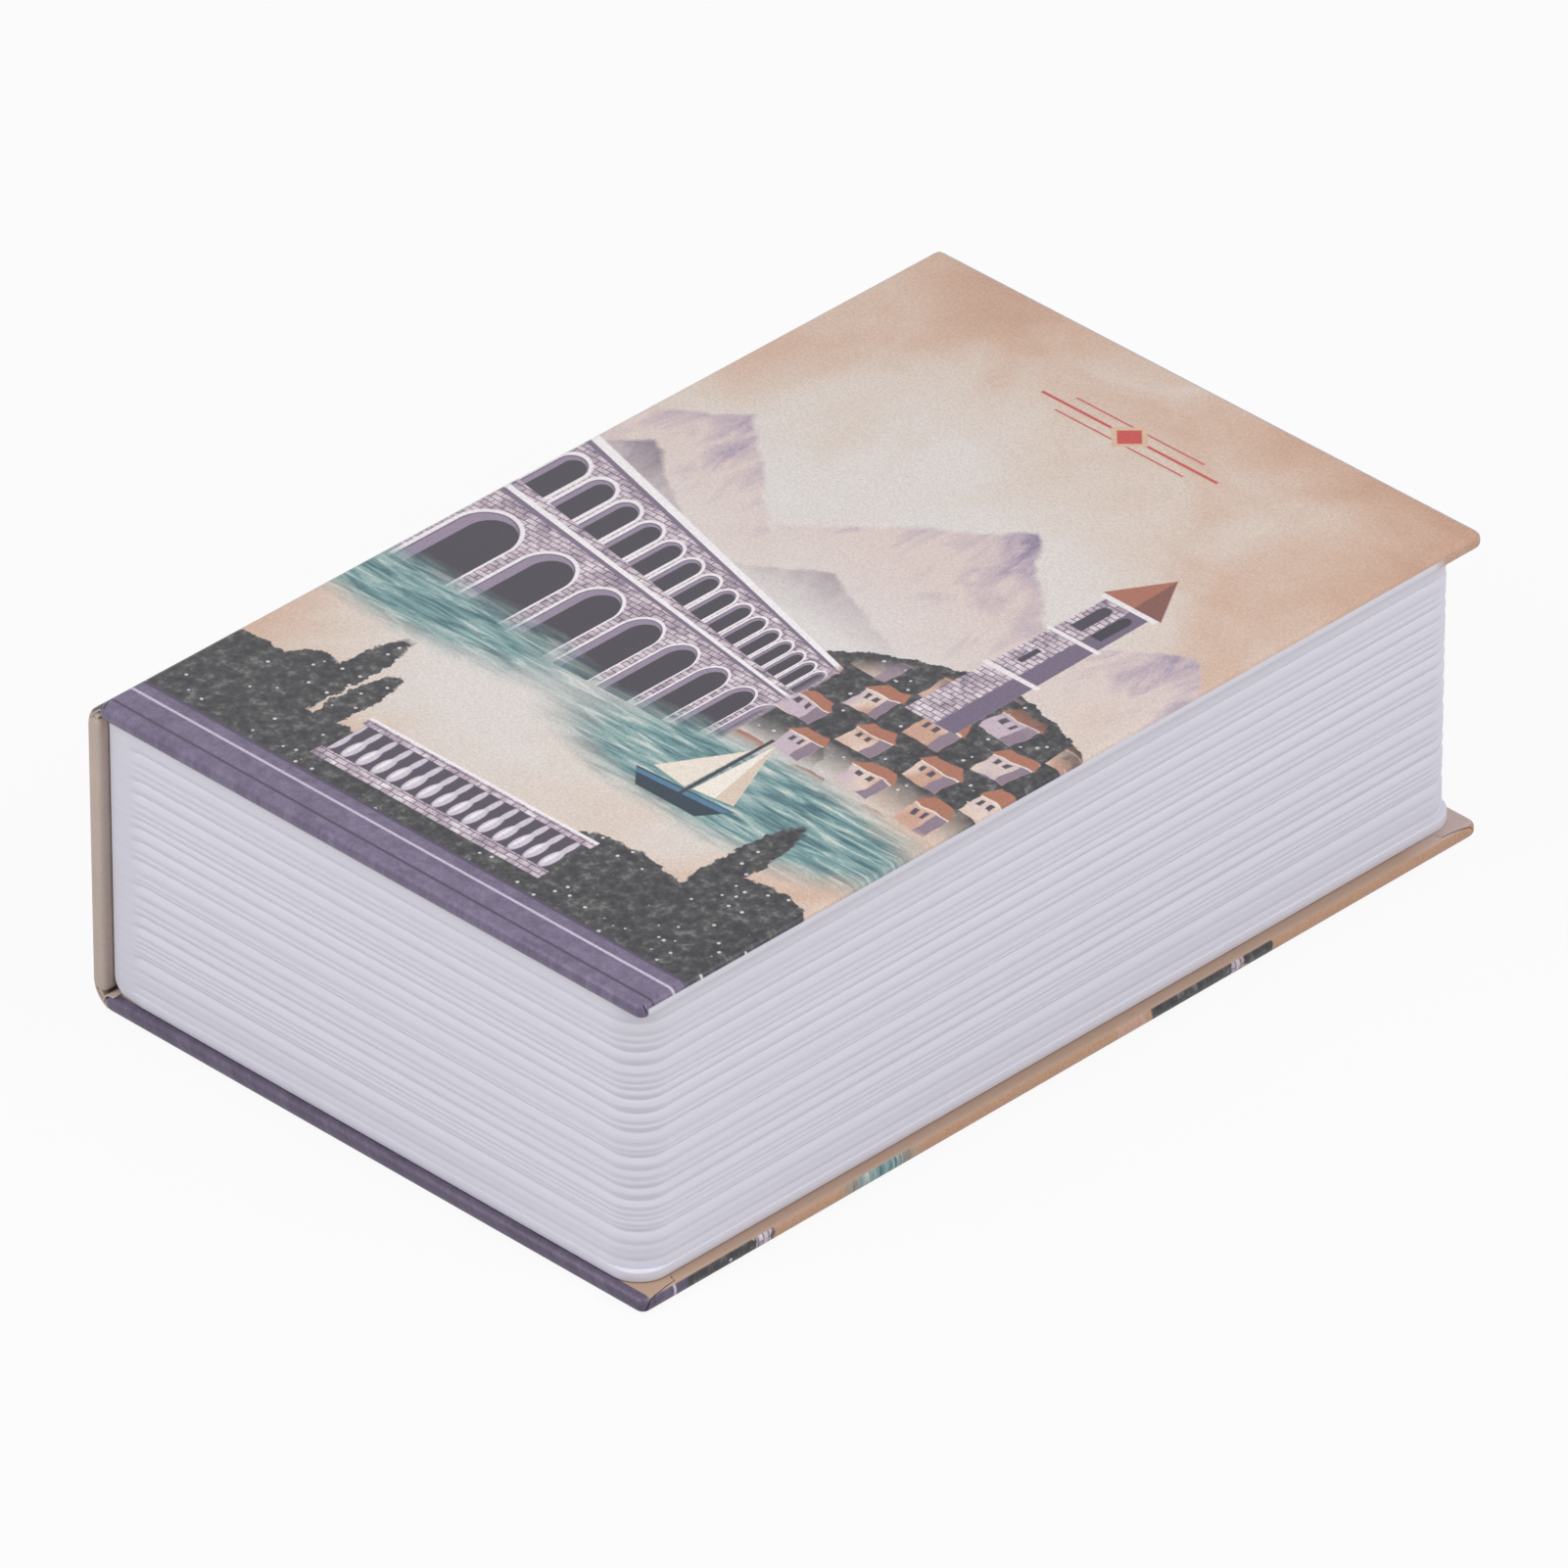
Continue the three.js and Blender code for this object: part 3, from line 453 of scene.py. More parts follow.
def pick(piece, kind, wanted):
    """In edit mode, selects the vertices, edges or faces that a test picks."""
    bpy.ops.mesh.select_mode(type=kind)
    bpy.ops.mesh.select_all(action="DESELECT")
    mesh = bmesh.from_edit_mesh(piece.data)
    items = {"VERT": mesh.verts, "EDGE": mesh.edges, "FACE": mesh.faces}[kind]
    for item in items:
        item.select_set(bool(wanted(item)))
    mesh.select_flush_mode()
    bmesh.update_edit_mesh(piece.data)


def middle(edge):
    return (edge.verts[0].co + edge.verts[1].co) / 2


def runs_along(edge, axis):
    """Whether an edge is straight along an axis, 0, 1 or 2."""
    way = edge.verts[1].co - edge.verts[0].co
    return abs(way[axis]) > STRAIGHT * way.length


def near(a, b, reach=0.01 * MM):
    return abs(a - b) < reach


def lies_at(edge, axis, level):
    """Whether both ends of an edge lie at a level along an axis, 0, 1 or 2."""
    return all(near(v.co[axis], level) for v in edge.verts)


def finish(piece, smooth_angle=SMOOTH_ANGLE):
    """Leaves edit mode and shades the piece smooth, apart from its sharp edges."""
    if piece.mode == "EDIT":
        face_out()
    hold(piece)
    bpy.ops.object.shade_smooth_by_angle(angle=math.radians(smooth_angle))


def modify(piece, kind, **settings):
    """Adds a modifier and applies it."""
    hold(piece)
    modifier = piece.modifiers.new(kind.title(), kind)
    for name, value in settings.items():
        setattr(modifier, name, value)
    bpy.ops.object.modifier_apply(modifier=modifier.name)


def start_edge(name, a, b):
    """A single edge between two points, ready to be extruded."""
    clear_selection()
    bpy.ops.mesh.primitive_plane_add(size=1, location=(0.5, 0.5, 0))
    piece = start(name)
    pick(piece, "VERT", lambda v: v.co.y > 0.5)
    bpy.ops.mesh.delete(type="VERT")
    for at, place in ((0, a), (1, b)):
        pick(piece, "VERT", lambda v: near(v.co.x, at) and near(v.co.y, 0) and near(v.co.z, 0))
        bpy.ops.transform.translate(value=place - Vector((at, 0, 0)))
    bpy.ops.mesh.select_all(action="SELECT")
    return piece


def sweep(name, ends, path):
    """Extrudes an edge, given by how its two ends lie from the path, along the path."""
    piece = start_edge(name, path[0] + ends[0], path[0] + ends[1])
    for here, there in zip(path, path[1:]):
        bpy.ops.mesh.extrude_region_move(TRANSFORM_OT_translate={"value": there - here})
    return piece


def combine(piece, other, operation):
    """Joins another piece to this one, or cuts it out, and throws the other away."""
    modify(piece, "BOOLEAN", operation=operation, object=other, solver="EXACT")
    bpy.data.objects.remove(other)


def round_edges(piece, wanted, radius, segments):
    pick(piece, "EDGE", wanted)
    bpy.ops.mesh.bevel(offset=radius, segments=segments, profile=0.5, affect="EDGES")


def dress(piece, material):
    piece.data.materials.clear()
    piece.data.materials.append(material)


def seat(piece, material, body, slot, *nodes):
    """Gives a finished piece its material and body, and hides the CAD nodes that it stands for. The slot is
    not used.
    """
    dress(piece, material)
    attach(piece, body)
    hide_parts(*nodes)


# Materials

def add_node(tree, kind, *inputs, stops=None, **settings):
    """Adds a shader node with settings, and its inputs in order as links or values; None leaves one alone.

    Stops are a colour ramp's places and sRGB hex colours, in rising order.
    """
    made = tree.nodes.new("ShaderNode" + kind)
    for name, value in settings.items():
        setattr(made, name, value)
    if stops:
        elements = made.color_ramp.elements
        ends = (elements[0], elements[1])
        for end, (place, hex_text) in zip(ends, (stops[0], stops[-1])):
            end.position = place
            end.color = linear(hex_text)
        for place, hex_text in stops[1:-1]:
            elements.new(place).color = linear(hex_text)
    sockets = [s for s in made.inputs if s.enabled]
    for socket, value in zip(sockets, inputs):
        if isinstance(value, bpy.types.NodeSocket):
            tree.links.new(value, socket)
        elif value is not None:
            socket.default_value = value
    return next((s for s in made.outputs if s.enabled), None)


def start_material(name, stored=None):
    """A material without nodes, and the place of a point in the book's own frame.

    On a piece that bends, the place is the one stored in a vertex attribute before bending.
    """
    material = bpy.data.materials.new(name)
    material.use_nodes = True
    tree = material.node_tree
    tree.nodes.clear()
    if stored:
        place = add_node(tree, "Attribute", attribute_name=stored).node.outputs["Vector"]
    else:
        place = add_node(tree, "TexCoord").node.outputs["Object"]
    return material, tree, place


def end_material(tree, colour_value, bump=None, **shader):
    """Puts one principled shader on the material; shader names its other sockets."""
    surface = add_node(tree, "BsdfPrincipled").node
    for name, value in {"Base Color": colour_value, "Normal": bump, **shader}.items():
        name = name.replace("_", " ") if name not in surface.inputs else name
        if isinstance(value, bpy.types.NodeSocket):
            tree.links.new(value, surface.inputs[name])
        elif value is not None:
            surface.inputs[name].default_value = value
    add_node(tree, "OutputMaterial", surface.outputs[0])


def drawn_noise(tree, place, lengths, detail, roughness):
    """Noise drawn out to a length in mm along each axis."""
    scale = [1 / (length * MM) for length in lengths]
    stretched = add_node(tree, "VectorMath", place, scale, operation="MULTIPLY")
    return add_node(tree, "TexNoise", stretched, 1.0, detail, roughness)


def toned(tree, ink, pattern, first, last, dark, light):
    """A finish's colour, darkened and lightened between two values of a pattern."""
    tone = add_node(tree, "MapRange", pattern, first, last, dark, light)
    return add_node(tree, "Mix", 1.0, tint(ink), tone, data_type="RGBA", blend_type="MULTIPLY")


def past_steps(tree, *steps):
    """How far a point is past every step: a value, a place on it, and in mm from there its begin and end."""
    mask = None
    for value, place, (begin, full) in steps:
        step = add_node(tree, "MapRange", value, place + begin * MM, place + full * MM)
        mask = step if mask is None else add_node(tree, "Math", mask, step, operation="MULTIPLY")
    return mask


def seen_directly(tree):
    """Whether the camera sees a surface, or sees it in a shiny piece."""
    rays = add_node(tree, "LightPath").node.outputs
    return add_node(tree, "Math", rays["Is Camera Ray"], rays["Is Glossy Ray"], operation="MAXIMUM")


# Pieces

def groove_depth_at(height):
    """How deep the page wall is cut at a height: each groove is a crease with rounded sides."""
    s = sizes()
    deepest = 0
    for place, share in GROOVES:
        reach = s.bundle_edge * math.sqrt(share)
        away = abs(height - place * MM) / reach
        if away < 1:
            deepest = max(deepest, share * (1 - away) ** 2)
    return deepest


class BOOKSAFE_OT_mould_page_block(bpy.types.Operator):
    """Moulds the white page block with its grooves, base lip, rounded foot and pocket"""
    bl_idname = "booksafe.mould_page_block"
    bl_label = "Mould page block"

    def execute(self, context):
        s = sizes()
        low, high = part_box("page_block")
        page_low = Vector((low.x, low.y + s.lip_proud, low.z + s.foot_gap))
        page_high = Vector((high.x - s.lip_proud, high.y - s.lip_proud, high.z))
        block = self.raise_wall(page_low, page_high)
        self.press_grooves(block, page_low, page_high)
        self.close_wall(block, page_low, page_high)
        combine(block, self.lip(low, high), "UNION")
        combine(block, self.pocket(low, high), "DIFFERENCE")
        combine(block, self.foot_cutter(low, high), "DIFFERENCE")
        finish(block, PAGE_SMOOTH_ANGLE)
        seat(block, page_plastic(), "book_base", "page_plastic", "page_block")
        return {"FINISHED"}

    def raise_wall(self, low, high):
        """Draws the plan outline, cuts stations where the grooves run out, and raises it in fine rows."""
        s = sizes()
        block = start_sheet("page_moulding", low, Vector((high.x, high.y, low.z)))
        pick(block, "VERT", lambda v: near(v.co.x, high.x))
        bpy.ops.mesh.bevel(offset=s.page_corner, segments=CORNER_STEPS, affect="VERTICES")
        for i in range(FADE_STATIONS + 1):
            bpy.ops.mesh.select_all(action="SELECT")
            x = low.x + s.plain_band + s.groove_fade * i / FADE_STATIONS
            bpy.ops.mesh.bisect(plane_co=(x, 0, low.z), plane_no=(1, 0, 0))
        for way, first, last in (((1, 0, 0), low.x, high.x), ((0, 1, 0), low.y, high.y)):
            spans = round((last - first) / s.wall_span)
            for i in range(1, spans):
                bpy.ops.mesh.select_all(action="SELECT")
                place = Vector(way) * (first + (last - first) * i / spans)
                bpy.ops.mesh.bisect(plane_co=place, plane_no=way)
        pick(block, "EDGE", lambda e: e.is_boundary)
        bpy.ops.mesh.extrude_region_move(TRANSFORM_OT_translate={"value": (0, 0, high.z - low.z)})
        pick(block, "FACE", lambda f: abs(f.normal.z) > STRAIGHT)
        bpy.ops.mesh.delete(type="FACE")
        for _ in range(2):
            pick(block, "EDGE", lambda e: runs_along(e, 2))
            bpy.ops.mesh.subdivide(number_cuts=s.groove_rows)
        face_out()
        return block

    def press_grooves(self, block, low, high):
        """Weighs each point by its groove and by its distance from the plain band, and presses it in."""
        s = sizes()
        clear_selection()
        group = block.vertex_groups.new(name="grooves")
        for v in block.data.vertices:
            along = (v.co.x - low.x - s.plain_band) / s.groove_fade
            share = min(max(along, 0), 1)
            round_x = max(v.co.x - high.x + s.page_corner, 0) / s.page_corner
            past_y = max(low.y - v.co.y, v.co.y - high.y)
            round_y = max(past_y + s.page_corner, 0) / s.page_corner
            share *= 1 - s.corner_softness * 2 * round_x * round_y
            weight = share * groove_depth_at(v.co.z)
            if weight > 0:
                group.add([v.index], weight, "REPLACE")
        modify(block, "DISPLACE", vertex_group="grooves", direction="NORMAL", mid_level=0,
               strength=-s.groove_depth)
        block.vertex_groups.clear()

    def close_wall(self, block, low, high):
        bpy.ops.object.mode_set(mode="EDIT")
        for level in (low.z, high.z):
            pick(block, "EDGE", lambda e: lies_at(e, 2, level))
            bpy.ops.mesh.edge_face_add()
        face_out()

    def lip(self, low, high):
        s = sizes()
        lip = start_block("lip", low, Vector((high.x, high.y, low.z + s.lip_height)))
        bpy.ops.mesh.bisect(plane_co=(low.x + s.plain_band + s.groove_fade, 0, 0), plane_no=(1, 0, 0))
        for end, inward in ((low.y, 1), (high.y, -1)):
            pick(lip, "VERT", lambda v: near(v.co.x, low.x) and near(v.co.y, end))
            bpy.ops.transform.translate(value=(0, inward * (s.lip_proud + s.lip_taper), 0))
        round_edges(lip, lambda e: runs_along(e, 2) and near(middle(e).x, high.x), s.lip_corner, CORNER_STEPS)
        for level, radius in ((low.z + s.lip_height, s.lip_edge), (low.z, s.foot_gap)):
            round_edges(lip, lambda e: lies_at(e, 2, level) and not near(middle(e).x, low.x), radius, 3)
        return lip

    def pocket(self, low, high):
        s = sizes()
        inset = Vector((s.rim, s.rim, 0))
        floor = low + inset
        floor.z += s.pocket_floor
        top = high - inset
        top.z += s.rim
        pocket = start_block("pocket", floor, top)
        round_edges(pocket, lambda e: runs_along(e, 2), s.pocket_corner, 8)
        return pocket

    def foot_cutter(self, low, high):
        """What the rounding takes off the long edge beside the spine: a square bar less a round one."""
        s = sizes()
        reach = Vector((OVERRUN, OVERRUN, OVERRUN))
        corner = Vector((low.x + s.foot_radius, high.y + OVERRUN, low.z + s.foot_radius))
        cutter = start_block("foot_cutter", low - reach, corner)
        clear_selection()
        bpy.ops.mesh.primitive_cylinder_add(
            vertices=FOOT_SIDES, radius=s.foot_radius, depth=high.y - low.y + 4 * OVERRUN,
            rotation=(math.radians(90), 0, 0),
            location=(low.x + s.foot_radius, (low.y + high.y) / 2, low.z + s.foot_radius))
        combine(cutter, start("foot_round"), "DIFFERENCE")
        return cutter


class BOOKSAFE_OT_wrap_covers(bpy.types.Operator):
    """Wraps both covers in printed paper, with soft edges and a window for the endpaper"""
    bl_idname = "booksafe.wrap_covers"
    bl_label = "Wrap covers"

    def execute(self, context):
        s = sizes()
        for side, body in (("front", "front_cover"), ("back", "book_base")):
            low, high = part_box(side + "_wrap")
            inner = low.z if side == "front" else high.z
            sheet_low, sheet_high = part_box(side + "_endpaper")
            wrap = start_block(side + "_cover_wrap", low, high)
            round_edges(wrap, lambda e: runs_along(e, 2), s.cover_corner, 8)
            round_edges(wrap, lambda e: not runs_along(e, 2), s.cover_edge, 6)
            open_window(wrap, 2, inner, sheet_low, sheet_high)
            outward = 1 if side == "front" else -1
            outer = high.z if side == "front" else low.z
            for end, inward in ((low.y, 1), (high.y, -1)):
                corner = Vector((high.x, end, outer))
                combine(wrap, self.slit_blade(corner, Vector((-1, inward, -outward))), "DIFFERENCE")
            finish(wrap)
            seat(wrap, printed_cover(side), body, "cover_print", side + "_wrap")
        return {"FINISHED"}

    def slit_blade(self, corner, way):
        """A thin blade that follows the slit at a fore-edge corner and cuts through the paper."""
        path = [corner + Vector(p) * MM * way for p in SLIT_PATH]
        ends = [Vector(p) * MM * way for p in SLIT_ENDS]
        blade = sweep("slit_blade", ends, path)
        finish(blade)
        modify(blade, "SOLIDIFY", thickness=sizes().slit, offset=0)
        return blade


def open_window(wrap, axis, level, low, high):
    """Cuts the turned-in border free of the face it frames, and gives the paper its thickness."""
    others = [i for i in range(3) if i != axis]

    def faces_level(face):
        return abs(face.normal[axis]) > STRAIGHT and near(face.calc_center_median()[axis], level)

    for other in others:
        for edge in (low[other], high[other]):
            pick(wrap, "FACE", faces_level)
            place = [0, 0, 0]
            place[other] = edge
            way = [0, 0, 0]
            way[other] = 1
            bpy.ops.mesh.bisect(plane_co=place, plane_no=way)
    pick(wrap, "FACE", lambda f: faces_level(f)
         and all(low[i] < f.calc_center_median()[i] < high[i] for i in others))
    bpy.ops.mesh.delete(type="FACE")
    finish(wrap)
    modify(wrap, "SOLIDIFY", thickness=sizes().paper, offset=-1, use_even_offset=True)
    finish(wrap)


class BOOKSAFE_OT_wrap_spine(bpy.types.Operator):
    """Wraps the spine in tan paper, with a window for its lining"""
    bl_idname = "booksafe.wrap_spine"
    bl_label = "Wrap spine"

    def execute(self, context):
        s = sizes()
        low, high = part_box("spine_wrap")
        wrap = start_block("spine_paper", low, high)
        round_edges(wrap, lambda e: runs_along(e, 1) and near(middle(e).x, low.x), s.spine_outer_edge, 7)
        round_edges(wrap, lambda e: runs_along(e, 1) and near(middle(e).x, high.x), s.spine_inner_edge, 6)
        for end in (low.y, high.y):
            round_edges(wrap, lambda e: lies_at(e, 1, end), s.spine_end_edge, 5)
        sheet_low, sheet_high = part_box("spine_lining")
        open_window(wrap, 0, high.x, sheet_low, sheet_high)
        seat(wrap, tan_paper(), "spine", "cover_print", "spine_wrap")
        return {"FINISHED"}


class BOOKSAFE_OT_bridge_joints(bpy.types.Operator):
    """Bridges both joints of the case with folded paper, from the spine's face to each cover's edge"""
    bl_idname = "booksafe.bridge_joints"
    bl_label = "Bridge joints"

    def execute(self, context):
        s = sizes()
        low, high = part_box("spine_wrap")
        half = (high.y - low.y) / 2
        papers = {"front": printed_cover("front", "rest_place"), "back": tan_paper("rest_place")}
        for side, body, outward in (("front", "front_cover", 1), ("back", "book_base", -1)):
            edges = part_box(side + "_wrap")
            outer = edges[1].z if outward > 0 else edges[0].z
            path, inner = [
                [Vector((low.x + x * MM, 0, outer - outward * z * MM)) for x, z in places]
                for places in (JOINT_PATH, LINING_PATH)
            ]
            reach = half - JOINT_END
            tuck = s.front_tuck if side == "front" else s.back_tuck
            strips = [self.fold(side + "_joint_paper", path, -reach, reach, s.joint_paper)]
            for place, end in (("tail", -1), ("head", 1)):
                at = end * (half - TUCK_MIDDLE)
                strips.append(self.fold(f"{side}_{place}_tuck", path, at - TUCK_REACH, at + TUCK_REACH, tuck))
            for strip in strips:
                dress(strip, papers[side])
            if side == "back":
                lining = self.fold("foot_lining", inner, LINING_END - half, half - LINING_END, s.paper)
                dress(lining, papers[side])
            else:
                lining = self.fold("front_joint_lining", path, -reach, reach, s.paper,
                                   s.joint_paper + LINING_GAP)
                dress(lining, tan_paper("rest_place"))
            for strip in (*strips, lining):
                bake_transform(strip)
        return {"FINISHED"}

    def fold(self, name, path, first, last, thickness, inset=0):
        """Folded paper along a joint, between two places on its length, on the path or inset from it."""
        strip = sweep(name, (Vector((0, first, 0)), Vector((0, last, 0))), path)
        face_out()
        mesh = bmesh.from_edit_mesh(strip.data)
        if sum(f.normal.x for f in mesh.faces) > 0:
            bpy.ops.mesh.flip_normals()
        clear_selection()
        modify(strip, "SUBSURF", levels=2, render_levels=2, boundary_smooth="PRESERVE_CORNERS")
        modify(strip, "SOLIDIFY", thickness=thickness, offset=-1 - 2 * inset / thickness)
        modify(strip, "BEVEL", width=FOLD_EDGE, segments=2, limit_method="ANGLE",
               angle_limit=math.radians(FOLD_BEVEL_ANGLE))
        finish(strip)
        places = strip.data.attributes.new("rest_place", "FLOAT_VECTOR", "POINT")
        places.data.foreach_set("vector", [c for v in strip.data.vertices for c in v.co])
        return strip


class BOOKSAFE_OT_break_metal_edges(bpy.types.Operator):
    """Gives the steel box and its small parts the slightly broken edges of folded and pressed metal"""
    bl_idname = "booksafe.break_metal_edges"
    bl_label = "Break metal edges"

    def execute(self, context):
        finishes = {"box_enamel": powder_coat(), "plated_steel": zinc_plate(), "lock_brass": turned_brass()}
        for body, slot, nodes in METAL_PIECES:
            for node in nodes:
                piece = start_copy(node + "_finished", node)
                bpy.ops.mesh.dissolve_limited(angle_limit=math.radians(FLAT_ANGLE))
                finish(piece)
                modify(piece, "BEVEL", width=sizes().metal_edge, segments=2, limit_method="ANGLE",
                       angle_limit=math.radians(METAL_BEVEL_ANGLE))
                finish(piece)
                seat(piece, finishes[slot], body, slot, node)
        return {"FINISHED"}


class BOOKSAFE_OT_turn_lock(bpy.types.Operator):
    """Turns the lock's housing, with its sunk face and flats, and the plug with its keyway"""
    bl_idname = "booksafe.turn_lock"
    bl_label = "Turn lock"

    def execute(self, context):
        s = sizes()
        low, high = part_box("lock_housing")
        plug_low, plug_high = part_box("lock_plug")
        axis = (low + high) / 2
        lid_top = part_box("steel_lid")[1].z
        bore = (plug_high.x - plug_low.x) / 2
        chrome = chrome_plate()

        housing = self.round_bar("lock_head", axis, s.lock_body, low.z, lid_top)
        for side in (-1, 1):
            bpy.ops.mesh.select_all(action="SELECT")
            bpy.ops.mesh.bisect(plane_co=(axis.x, axis.y + side * s.lock_flats, low.z), plane_no=(0, side, 0),
                                clear_outer=True, use_fill=True)
        flange = self.round_bar("lock_flange", axis, (high.x - low.x) / 2, lid_top, high.z)
        pick(flange, "FACE", lambda f: f.normal.z > STRAIGHT)
        bpy.ops.mesh.inset(thickness=(high.x - low.x) / 2 - s.lock_face)
        bpy.ops.transform.translate(value=(0, 0, -s.lock_face_depth))
        round_edges(flange, lambda e: lies_at(e, 2, high.z), s.flange_edge, 4)
        combine(housing, flange, "UNION")
        hole = self.round_bar("lock_hole", axis, bore + s.plug_gap, low.z - OVERRUN, high.z + OVERRUN)
        combine(housing, hole, "DIFFERENCE")
        finish(housing)
        seat(housing, chrome, "lid", "lock_chrome", "lock_housing")

        plug = self.round_bar("lock_core", axis, bore, low.z, plug_high.z)
        round_edges(plug, lambda e: lies_at(e, 2, plug_high.z), s.plug_edge, 3)
        for length, width, shift in (
            (s.keyway_length, s.keyway_width, 0), (s.notch_length, s.notch_width, s.notch_shift),
        ):
            half = Vector((length, width, 0)) / 2
            centre = Vector((axis.x + shift, axis.y, plug_high.z))
            foot = centre - half - Vector((0, 0, s.keyway_depth))
            combine(plug, start_block("keyway", foot, centre + half + Vector((0, 0, OVERRUN))), "DIFFERENCE")
        finish(plug)
        tail = start_copy("lock_tail", "lock_plug")
        bpy.ops.mesh.bisect(plane_co=(0, 0, low.z + TAIL_OVERLAP), plane_no=(0, 0, 1), clear_outer=True,
                            use_fill=True)
        combine(plug, tail, "UNION")
        finish(plug)
        seat(plug, chrome, "lock", "lock_chrome", "lock_plug")
        return {"FINISHED"}

    def round_bar(self, name, axis, radius, low, high):
        clear_selection()
        bpy.ops.mesh.primitive_cylinder_add(vertices=ROUND_SIDES, radius=radius, depth=high - low,
                                            location=(axis.x, axis.y, (low + high) / 2))
        return start(name)


class BOOKSAFE_OT_paste_papers(bpy.types.Operator):
    """Gives the endpapers, the spine's lining and the boards inside the case their own finishes"""
    bl_idname = "booksafe.paste_papers"
    bl_label = "Paste papers"

    def execute(self, context):
        sheet, board = uncoated_sheet(), pressed_greyboard()
        for node in ("front_endpaper", "back_endpaper", "spine_lining"):
            dress(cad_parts[node], sheet)
        for node in ("front_board", "back_board", "spine_board"):
            dress(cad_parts[node], board)
        return {"FINISHED"}


def powder_coat():
    # Black polyester powder coat: the eye sees fine orange peel in the highlights, and slightly dull patches
    material, tree, place = start_material("black_powder_coat")
    peel = add_node(tree, "TexNoise", place, 1 / (0.7 * MM), 2.0, 0.4)
    patches = add_node(tree, "TexNoise", place, 1 / (14 * MM), 3.0, 0.5)
    colour_value = toned(tree, "enamel", patches, 0.3, 0.7, 0.8, 1.25)
    bump = add_node(tree, "Bump", 0.35, 0.03 * MM, None, peel)
    roughness = add_node(tree, "MapRange", patches, 0.3, 0.7, 0.42, 0.56)
    end_material(tree, colour_value, bump, Roughness=roughness)
    return material


def zinc_plate():
    # Bright zinc on pressed steel: pale crystals a few mm wide, and fine streaks from rolling
    material, tree, place = start_material("bright_zinc_plate")
    crystals = add_node(tree, "TexVoronoi", place, 1 / (1.8 * MM)).node.outputs["Color"]
    colour_value = toned(tree, "zinc", add_node(tree, "SeparateXYZ", crystals), 0, 1, 0.86, 1.06)
    streaks = drawn_noise(tree, place, (6, 0.25, 0.25), 2.0, 0.5)
    bump = add_node(tree, "Bump", 0.2, 0.01 * MM, None, streaks)
    roughness = add_node(tree, "MapRange", streaks, 0.3, 0.7, 0.26, 0.4)
    end_material(tree, colour_value, bump, Metallic=1.0, Roughness=roughness)
    return material


def turned_brass():
    # Machined brass: fine rings round the lock's axis that break the highlight, and a warmer tone in patches
    material, tree, place = start_material("turned_brass")
    axis = sum(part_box("lock_nut"), Vector()) / 2
    across = add_node(tree, "VectorMath", place, (1, 1, 0), (-axis.x, -axis.y, 0), operation="MULTIPLY_ADD")
    away = add_node(tree, "VectorMath", across, operation="LENGTH")
    turns = add_node(tree, "Math", away, math.tau / (0.3 * MM), operation="MULTIPLY")
    rings = add_node(tree, "Math", turns, operation="SINE")
    patches = add_node(tree, "TexNoise", place, 1 / (3 * MM), 3.0, 0.5)
    colour_value = toned(tree, "brass", patches, 0.3, 0.7, 0.84, 1.08)
    bump = add_node(tree, "Bump", 0.1, 0.005 * MM, None, rings)
    end_material(tree, colour_value, bump, Metallic=1.0, Roughness=0.3)
    return material


def chrome_plate():
    # Nickel-chrome on a die casting: a bright mirror, dulled here and there by a haze of handling
    material, tree, place = start_material("nickel_chrome_plate")
    haze = add_node(tree, "TexNoise", place, 1 / (4 * MM), 4.0, 0.6)
    grit = add_node(tree, "TexNoise", place, 1 / (0.3 * MM), 2.0, 0.5)
    colour_value = toned(tree, "chrome", haze, 0.3, 0.7, 0.9, 1.05)
    bump = add_node(tree, "Bump", 0.08, 0.01 * MM, None, grit)
    roughness = add_node(tree, "MapRange", haze, 0.35, 0.7, 0.1, 0.24)
    end_material(tree, colour_value, bump, Metallic=1.0, Roughness=roughness)
    return material


def uncoated_sheet():
    # Uncoated offset paper: matt, with short fibres that cross each other and a cloudy tone against the light
    material, tree, place = start_material("uncoated_tan_sheet")
    ways = [drawn_noise(tree, place, lengths, 3.0, 0.6) for lengths in ((0.35, 2.2, 1), (2.2, 0.35, 1))]
    fibres = add_node(tree, "Math", *ways, operation="MAXIMUM")
    clouds = add_node(tree, "TexNoise", place, 1 / (7 * MM), 3.0, 0.5)
    tone = add_node(tree, "Math", fibres, clouds, operation="ADD")
    colour_value = toned(tree, "endpaper", tone, 0.8, 1.35, 0.93, 1.04)
    bump = add_node(tree, "Bump", 0.3, 0.03 * MM, None, fibres)
    end_material(tree, colour_value, bump, Roughness=0.85)
    return material


def pressed_greyboard():
    # Recycled binder's board: grey pulp flecked with dark and pale scraps of old print
    material, tree, place = start_material("pressed_greyboard")
    pulp = add_node(tree, "TexNoise", place, 1 / (2.5 * MM), 5.0, 0.7)
    colour_value = toned(tree, "board", pulp, 0.3, 0.7, 0.86, 1.08)
    for scale, reach, ink in ((1.7, 0.12, "#5A554F"), (2.3, 0.1, "#C9C3B8")):
        flecks = add_node(tree, "TexVoronoi", place, 1 / (scale * MM))
        scraps = add_node(tree, "MapRange", flecks, reach + 0.03, reach)
        colour_value = add_node(tree, "Mix", scraps, colour_value, linear(ink), data_type="RGBA")
    bump = add_node(tree, "Bump", 0.5, 0.06 * MM, None, pulp)
    end_material(tree, colour_value, bump, Roughness=0.92)
    return material


